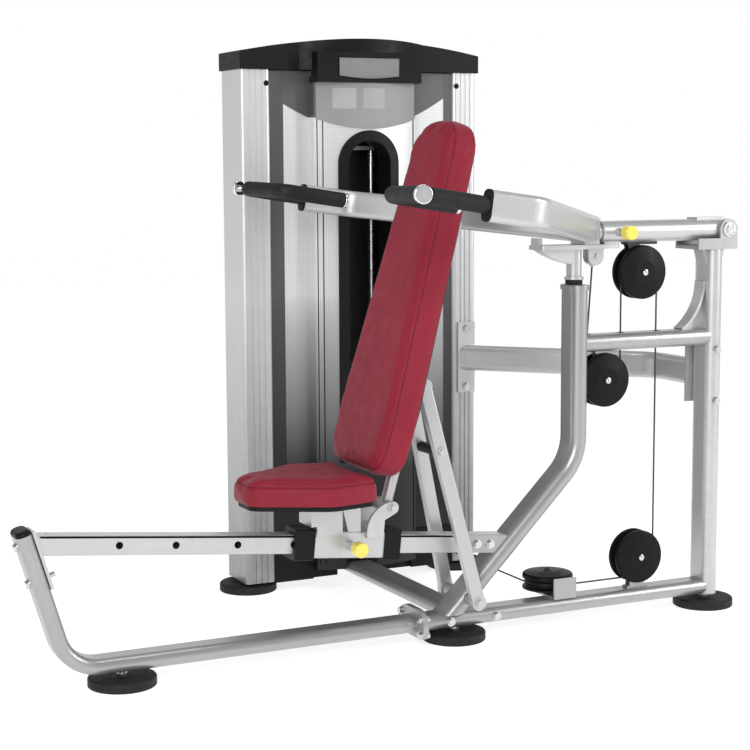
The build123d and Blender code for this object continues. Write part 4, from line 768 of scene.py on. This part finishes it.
def backrest_pad():
    """Backrest: long tapered pad with a round head, a flat front panel and a seam round its rim."""
    right = [(0.162, PAD_LOW), (0.172, PAD_LOW + 0.150), (0.118, PAD_HIGH)]
    corners = right + [(-x, y) for x, y in reversed(right)]
    outline = rounded_outline(corners, [0.074, 0.060, 0.098, 0.098, 0.060, 0.074])
    thick = PAD_FRONT - PAD_BACK
    levels = [(0.010, 0.0006), (0.005, 0.003), (0.004, 0.012), (0.003, thick * 0.5), (0.004, thick - 0.014),
              (0.007, thick - 0.006), (0.016, thick - 0.002), (0.032, thick)]
    across, up, forward = backrest_axes()
    origin = RECLINE_PIVOT + forward * PAD_BACK

    def to_world(x, y, height):
        return origin + across * x + up * y + forward * height

    def height_of(point):
        return (point - origin).dot(forward)

    pad = cushion_blank("back_pad", outline, levels, to_world)
    puff(pad, lambda p: height_of(p) < BOARD_HOLD)
    seam = thick - 0.012
    sink_seam(pad, height_of, seam, 0.0032, 0.0034, lambda n: abs(n.dot(forward)) < 0.93)
    clamp_below(pad, height_of, 0.0002, forward)
    dress_pad(pad, "backrest", "backrest_pad")
    seam_cord("back_seam", pad, outline, to_world, seam, 0.0012)


# ---------------------------------------------------------------- cables

def cable_piece(name, points):
    """A length of cable as a mesh tube."""
    mesh_data = bmesh.new()
    add_tube(mesh_data, points, CABLE_R, 12)
    return finish_mesh(mesh_data, name, None, "cable_black")


def arm_cables():
    """Cable of the press arm: down to the mid wheel, over the arm's wheel and down to the low wheel."""
    x, z = Vector((1, 0, 0)), Vector((0, 0, 1))
    dx, dz = MID_WHEEL.x - CABLE_ANCHOR.x, CABLE_ANCHOR.z - MID_WHEEL.z
    lean = math.asin(WHEEL_R / math.hypot(dx, dz)) - math.atan2(dx, dz)
    touch = MID_WHEEL + Vector((-math.cos(lean), 0, math.sin(lean))) * WHEEL_R
    first = straight(CABLE_ANCHOR, touch)
    first += arc_points(MID_WHEEL, x, z, WHEEL_R, math.pi - lean, 2 * math.pi)[1:]
    first += straight(MID_WHEEL + x * WHEEL_R, UPPER_WHEEL - x * WHEEL_R)[1:]
    first += arc_points(UPPER_WHEEL, x, z, WHEEL_R, math.pi, 0.0)[1:]
    upper = cable_piece("arm_cable_run", first)
    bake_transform(upper)
    drop_top = UPPER_WHEEL + x * WHEEL_R
    drop = cable_piece("arm_cable_drop", straight(drop_top, CABLE_LEAVES))
    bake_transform(drop)
    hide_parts("arm_cable")
    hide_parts("arm_cable")


def drive_cables():
    """Cable from the low wheel round the floor wheel into the tower and over the top wheel to the stack."""
    x, y, z = Vector((1, 0, 0)), Vector((0, 1, 0)), Vector((0, 0, 1))
    points = [CABLE_LEAVES]
    points += arc_points(LOWER_WHEEL, x, z, WHEEL_R, 0.0, -math.pi / 2)
    points += straight(points[-1], Vector((FLOOR_WHEEL.x, 0, FLOOR_WHEEL.z)))[1:]
    points += arc_points(FLOOR_WHEEL, x, y, WHEEL_R, -math.pi / 2, -math.pi)[1:]
    tower_low = Vector((TOWER_CABLE_X, STACK_Y - TOWER_LOW_R, FLOOR_WHEEL.z + TOWER_LOW_R))
    points += straight(points[-1], tower_low - z * TOWER_LOW_R)[1:]
    points += arc_points(tower_low, y, z, TOWER_LOW_R, -math.pi / 2, 0.0, 16)[1:]
    top = Vector((TOWER_CABLE_X - TOP_WHEEL_R, STACK_Y, TOP_WHEEL_Z))
    points += straight(points[-1], top + x * TOP_WHEEL_R)[1:]
    points += arc_points(top, x, z, TOP_WHEEL_R, 0.0, math.pi, 36)[1:]
    run = cable_piece("drive_cable_run", points)
    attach(run, "frame")
    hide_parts("drive_cable")
    fall_top = top - x * TOP_WHEEL_R
    fall_low = Vector((fall_top.x, STACK_Y, STACK_TOP_Z))
    fall = cable_piece("drive_cable_fall", straight(fall_top, fall_low))
    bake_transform(fall)
    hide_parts("drive_cable")


# ---------------------------------------------------------------- small hardware and trim

def button_bolt(mesh_data, origin, axis, radius):
    """Adds a domed bolt head with a washer and a socket."""
    washer = [(0.0, -0.001), (radius * 1.5, -0.001), (radius * 1.5, 0.0012), (radius * 1.42, 0.0018)]
    dome = [(radius, 0.0020), (radius * 0.96, radius * 0.35), (radius * 0.75, radius * 0.62)]
    socket = [(radius * 0.45, radius * 0.72), (radius * 0.42, radius * 0.40), (0.0, radius * 0.38)]
    profile = washer + dome + socket
    add_lathe(mesh_data, profile, origin, axis, 32)


def guard_bolts():
    """Domed bolts in the middle of the pulley guards, and a raised ring round each bolt."""
    guards = (("mid", MID_WHEEL, "frame"), ("lower", LOWER_WHEEL, "frame"),
              ("upper", UPPER_WHEEL, "press_arm"))
    profile = [(0.0095, GUARD_CROWN - 0.001), (0.0095, GUARD_CROWN + 0.0016), (0.0110, GUARD_CROWN + 0.0022),
               (0.0125, GUARD_CROWN + 0.0014), (0.0135, GUARD_CROWN - 0.001)]
    for name, wheel, body in guards:
        bolts = bmesh.new()
        rings = bmesh.new()
        for axis in (Vector((0, -1, 0)), Vector((0, 1, 0))):
            button_bolt(bolts, wheel + axis * GUARD_CROWN, axis, 0.006)
            add_lathe(rings, profile, wheel, axis, 64)
        finish_mesh(bolts, f"{name}_guard_bolts", body, "bright_steel")
        finish_mesh(rings, f"{name}_guard_rings", body, "black_plastic")
    bolts = bmesh.new()
    upward = Vector((0, 0, 1))
    button_bolt(bolts, FLOOR_WHEEL + upward * GUARD_CROWN, upward, 0.009)
    finish_mesh(bolts, "floor_guard_bolt", "frame", "bright_steel", MATERIALS["black_steel"])


def rail_point(along, across, height):
    """A point given along, across and above the seat rail's axis."""
    forward = Vector((-math.cos(RAIL_TILT), 0, math.sin(RAIL_TILT)))
    upward = Vector((math.sin(RAIL_TILT), 0, math.cos(RAIL_TILT)))
    return RAIL_REF + forward * along + Vector((0, across, 0)) + upward * height


def rail_trim():
    """Dark line along both sides of the seat rail, and black bushes in its holes."""
    rear, front = RAIL_LINE_ENDS
    low, high = RAIL_LINE_HEIGHTS
    strip = bmesh.new()
    for side in (-1, 1):
        across = side * RAIL_FACE
        corners = [rail_point(rear, across, low), rail_point(front, across, low),
                   rail_point(front, across, high), rail_point(rear, across, high)]
        if side > 0:
            corners.reverse()
        add_slab(strip, corners, 0.0004)
    finish_mesh(strip, "rail_line", "frame", "frame_silver", MATERIALS["black_plastic"], smooth=False)
    bushes = bmesh.new()
    profile = [(0.0079, -0.0030), (0.0079, 0.0004), (0.0088, 0.0006), (0.0094, 0.0003), (0.0094, 0.0)]
    for along in RAIL_HOLES:
        add_lathe(bushes, profile, rail_point(along, -RAIL_FACE, 0.0), Vector((0, -1, 0)), 36)
    finish_mesh(bushes, "rail_bushes", "frame", "black_plastic")


def shield_y(x):
    """Front face of the bulged shield at x."""
    rise = SHIELD_EDGE_Y - SHIELD_NOSE_Y
    radius = (SHIELD_HALF ** 2 + rise ** 2) / (2 * rise)
    return SHIELD_NOSE_Y + radius - math.sqrt(radius ** 2 - (x - TOWER_MID) ** 2)


def tower_trim():
    """Dark double line beside the slot, the shield's edge line and the top screws of the columns."""
    lines = bmesh.new()
    for x in (TOWER_MID - 0.160, TOWER_MID - 0.144, TOWER_MID + 0.160):
        points = [Vector((x, shield_y(x) - 0.0004, z)) for z in (0.075, 0.5, 1.0, 1.530)]
        add_tube(lines, points, 0.0016, 8)
    finish_mesh(lines, "shield_lines", "frame", "black_plastic")
    screws = bmesh.new()
    for x in SCREW_X:
        button_bolt(screws, Vector((x, COLUMN_FRONT_Y, 1.530)), Vector((0, -1, 0)), 0.0055)
    finish_mesh(screws, "column_screws", "frame", "black_plastic")


def sign_plaque():
    """Blank grey plaque with a bowed lower edge on the sign block, in a thin raised frame."""
    left, right = PLAQUE_X
    low, high = PLAQUE_Z
    face_y = SIGN_FRONT_Y - 0.0002
    edge = [(left, high), (right, high), (right, low)]
    for k in range(1, 16):
        share = k / 16
        edge.append((right + (left - right) * share, low - 0.008 * math.sin(math.pi * share)))
    edge.append((left, low))
    plaque = bmesh.new()
    add_slab(plaque, [Vector((x, face_y, z)) for x, z in edge], 0.0015)
    finish_mesh(plaque, "sign_plaque", "frame", "black_plastic", PLAQUE_GREY, smooth=False)
    rim = bmesh.new()
    add_tube(rim, [Vector((x, face_y - 0.0012, z)) for x, z in edge], 0.0011, 8, closed=True)
    finish_mesh(rim, "plaque_rim", "frame", "black_plastic")


# ---------------------------------------------------------------- scene

CAMERA_PLACE = Vector((-2.236, -4.117, 1.304))
CAMERA_YAW = math.radians(25.90)
CAMERA_DOWN = math.radians(7.00)
CAMERA_ROLL = math.radians(-0.26)
CAMERA_LENS = 83.99
SWEEP = (0.43, 0.89, -0.12)               # middle of the white sweep, seen from the origin
FLOOR_HALF = 14.0
FLOOR_GLOW = 0.74


def make_camera():
    """Camera at the photograph's viewing angle."""
    data = bpy.data.cameras.new("camera")
    data.sensor_width = 36.0
    data.lens = CAMERA_LENS
    data.clip_end = 100.0
    camera = bpy.data.objects.new("camera", data)
    bpy.context.collection.objects.link(camera)
    level = math.cos(CAMERA_DOWN)
    ahead = Vector((math.sin(CAMERA_YAW) * level, math.cos(CAMERA_YAW) * level, -math.sin(CAMERA_DOWN)))
    right = Vector((math.cos(CAMERA_YAW), -math.sin(CAMERA_YAW), 0.0))
    up = right.cross(ahead)
    level_right = right * math.cos(CAMERA_ROLL) + up * math.sin(CAMERA_ROLL)
    level_up = up * math.cos(CAMERA_ROLL) - right * math.sin(CAMERA_ROLL)
    turn = Matrix((level_right, level_up, -ahead)).transposed()
    camera.matrix_world = Matrix.Translation(CAMERA_PLACE) @ turn.to_4x4()
    bpy.context.scene.camera = camera


def area_light(name, place, target, size, power):
    """Soft rectangular light aimed at a point."""
    data = bpy.data.lights.new(name, "AREA")
    data.shape = "RECTANGLE"
    data.size, data.size_y = size
    data.energy = power
    light = bpy.data.objects.new(name, data)
    light.location = place
    light.rotation_mode = "QUATERNION"
    light.rotation_quaternion = (Vector(target) - Vector(place)).to_track_quat("-Z", "Y")
    bpy.context.collection.objects.link(light)


def surround_level(tree, direction, centre, inner, outer, inside, outside):
    """World brightness that goes from inside to outside with the angle from a fixed direction."""
    dot = tree.nodes.new("ShaderNodeVectorMath")
    dot.operation = "DOT_PRODUCT"
    tree.links.new(direction, dot.inputs[0])
    dot.inputs[1].default_value = centre
    ramp = tree.nodes.new("ShaderNodeMapRange")
    ramp.interpolation_type = "SMOOTHSTEP"
    ramp.inputs["From Min"].default_value = outer
    ramp.inputs["From Max"].default_value = inner
    ramp.inputs["To Min"].default_value = outside
    ramp.inputs["To Max"].default_value = inside
    tree.links.new(dot.outputs["Value"], ramp.inputs["Value"])
    return ramp.outputs["Result"]


def studio_floor(name):
    """Plain pale floor paint that gives off a little light, to stay white far from the lights."""
    g = Graph(name)
    g.colour(g.mix(g.remap(g.noise(0.8, 2.0), 0.3, 0.7, 0.0, 1.0), (0.56, 0.56, 0.56), (0.59, 0.59, 0.59)))
    g.rough(g.remap(g.noise(5.0, 3.0), 0.3, 0.7, 0.75, 0.85))
    g.normal(g.bump(g.noise(90.0, 3.0), 0.0001, 0.3))
    g.shader.inputs["Emission Color"].default_value = (1.0, 1.0, 1.0, 1.0)
    g.shader.inputs["Emission Strength"].default_value = FLOOR_GLOW
    return g.fixed(specular=0.1)


def make_floor():
    """Wide pale floor the machine stands on."""
    grid = bmesh.new()
    bmesh.ops.create_grid(grid, x_segments=12, y_segments=12, size=FLOOR_HALF)
    mesh = bpy.data.meshes.new("floor")
    grid.to_mesh(mesh)
    grid.free()
    ground = bpy.data.objects.new("floor", mesh)
    bpy.context.collection.objects.link(ground)
    mesh.materials.append(studio_floor("floor_paint"))


def make_studio():
    """Pale floor, a white sweep behind the machine in a light grey room, and three soft lights."""
    make_floor()
    world = bpy.data.worlds.new("surround")
    bpy.context.scene.world = world
    world.use_nodes = True
    tree = world.node_tree
    direction = tree.nodes.new("ShaderNodeTexCoord").outputs["Generated"]
    upward = (0.0, 0.0, 1.0)
    level = surround_level(tree, direction, SWEEP, 0.80, 0.62, 1.0, 0.0)
    ceiling = surround_level(tree, direction, upward, 0.85, 0.55, 0.42, 0.0)
    walls = surround_level(tree, direction, upward, 0.55, 0.15, 0.28, 0.66)
    for other in (ceiling, walls):
        brighter = tree.nodes.new("ShaderNodeMath")
        brighter.operation = "MAXIMUM"
        tree.links.new(level, brighter.inputs[0])
        tree.links.new(other, brighter.inputs[1])
        level = brighter.outputs[0]
    background = tree.nodes["Background"]
    tree.links.new(level, background.inputs["Color"])
    background.inputs["Strength"].default_value = 1.0
    area_light("key", (-3.2, -3.6, 2.6), (0, 0.2, 0.7), (1.8, 2.8), 140.0)
    area_light("side", (3.6, -2.6, 2.4), (0.2, 0.2, 0.7), (0.8, 2.6), 100.0)
    area_light("top", (0.0, -0.6, 4.4), (0, 0.2, 0.5), (3.0, 0.6), 30.0)
    bpy.context.scene.view_settings.view_transform = "Standard"


make_camera()
make_studio()
paint_frame_nodes()
seat_cushion()
backrest_pad()
arm_cables()
drive_cables()
guard_bolts()
rail_trim()
tower_trim()
sign_plaque()
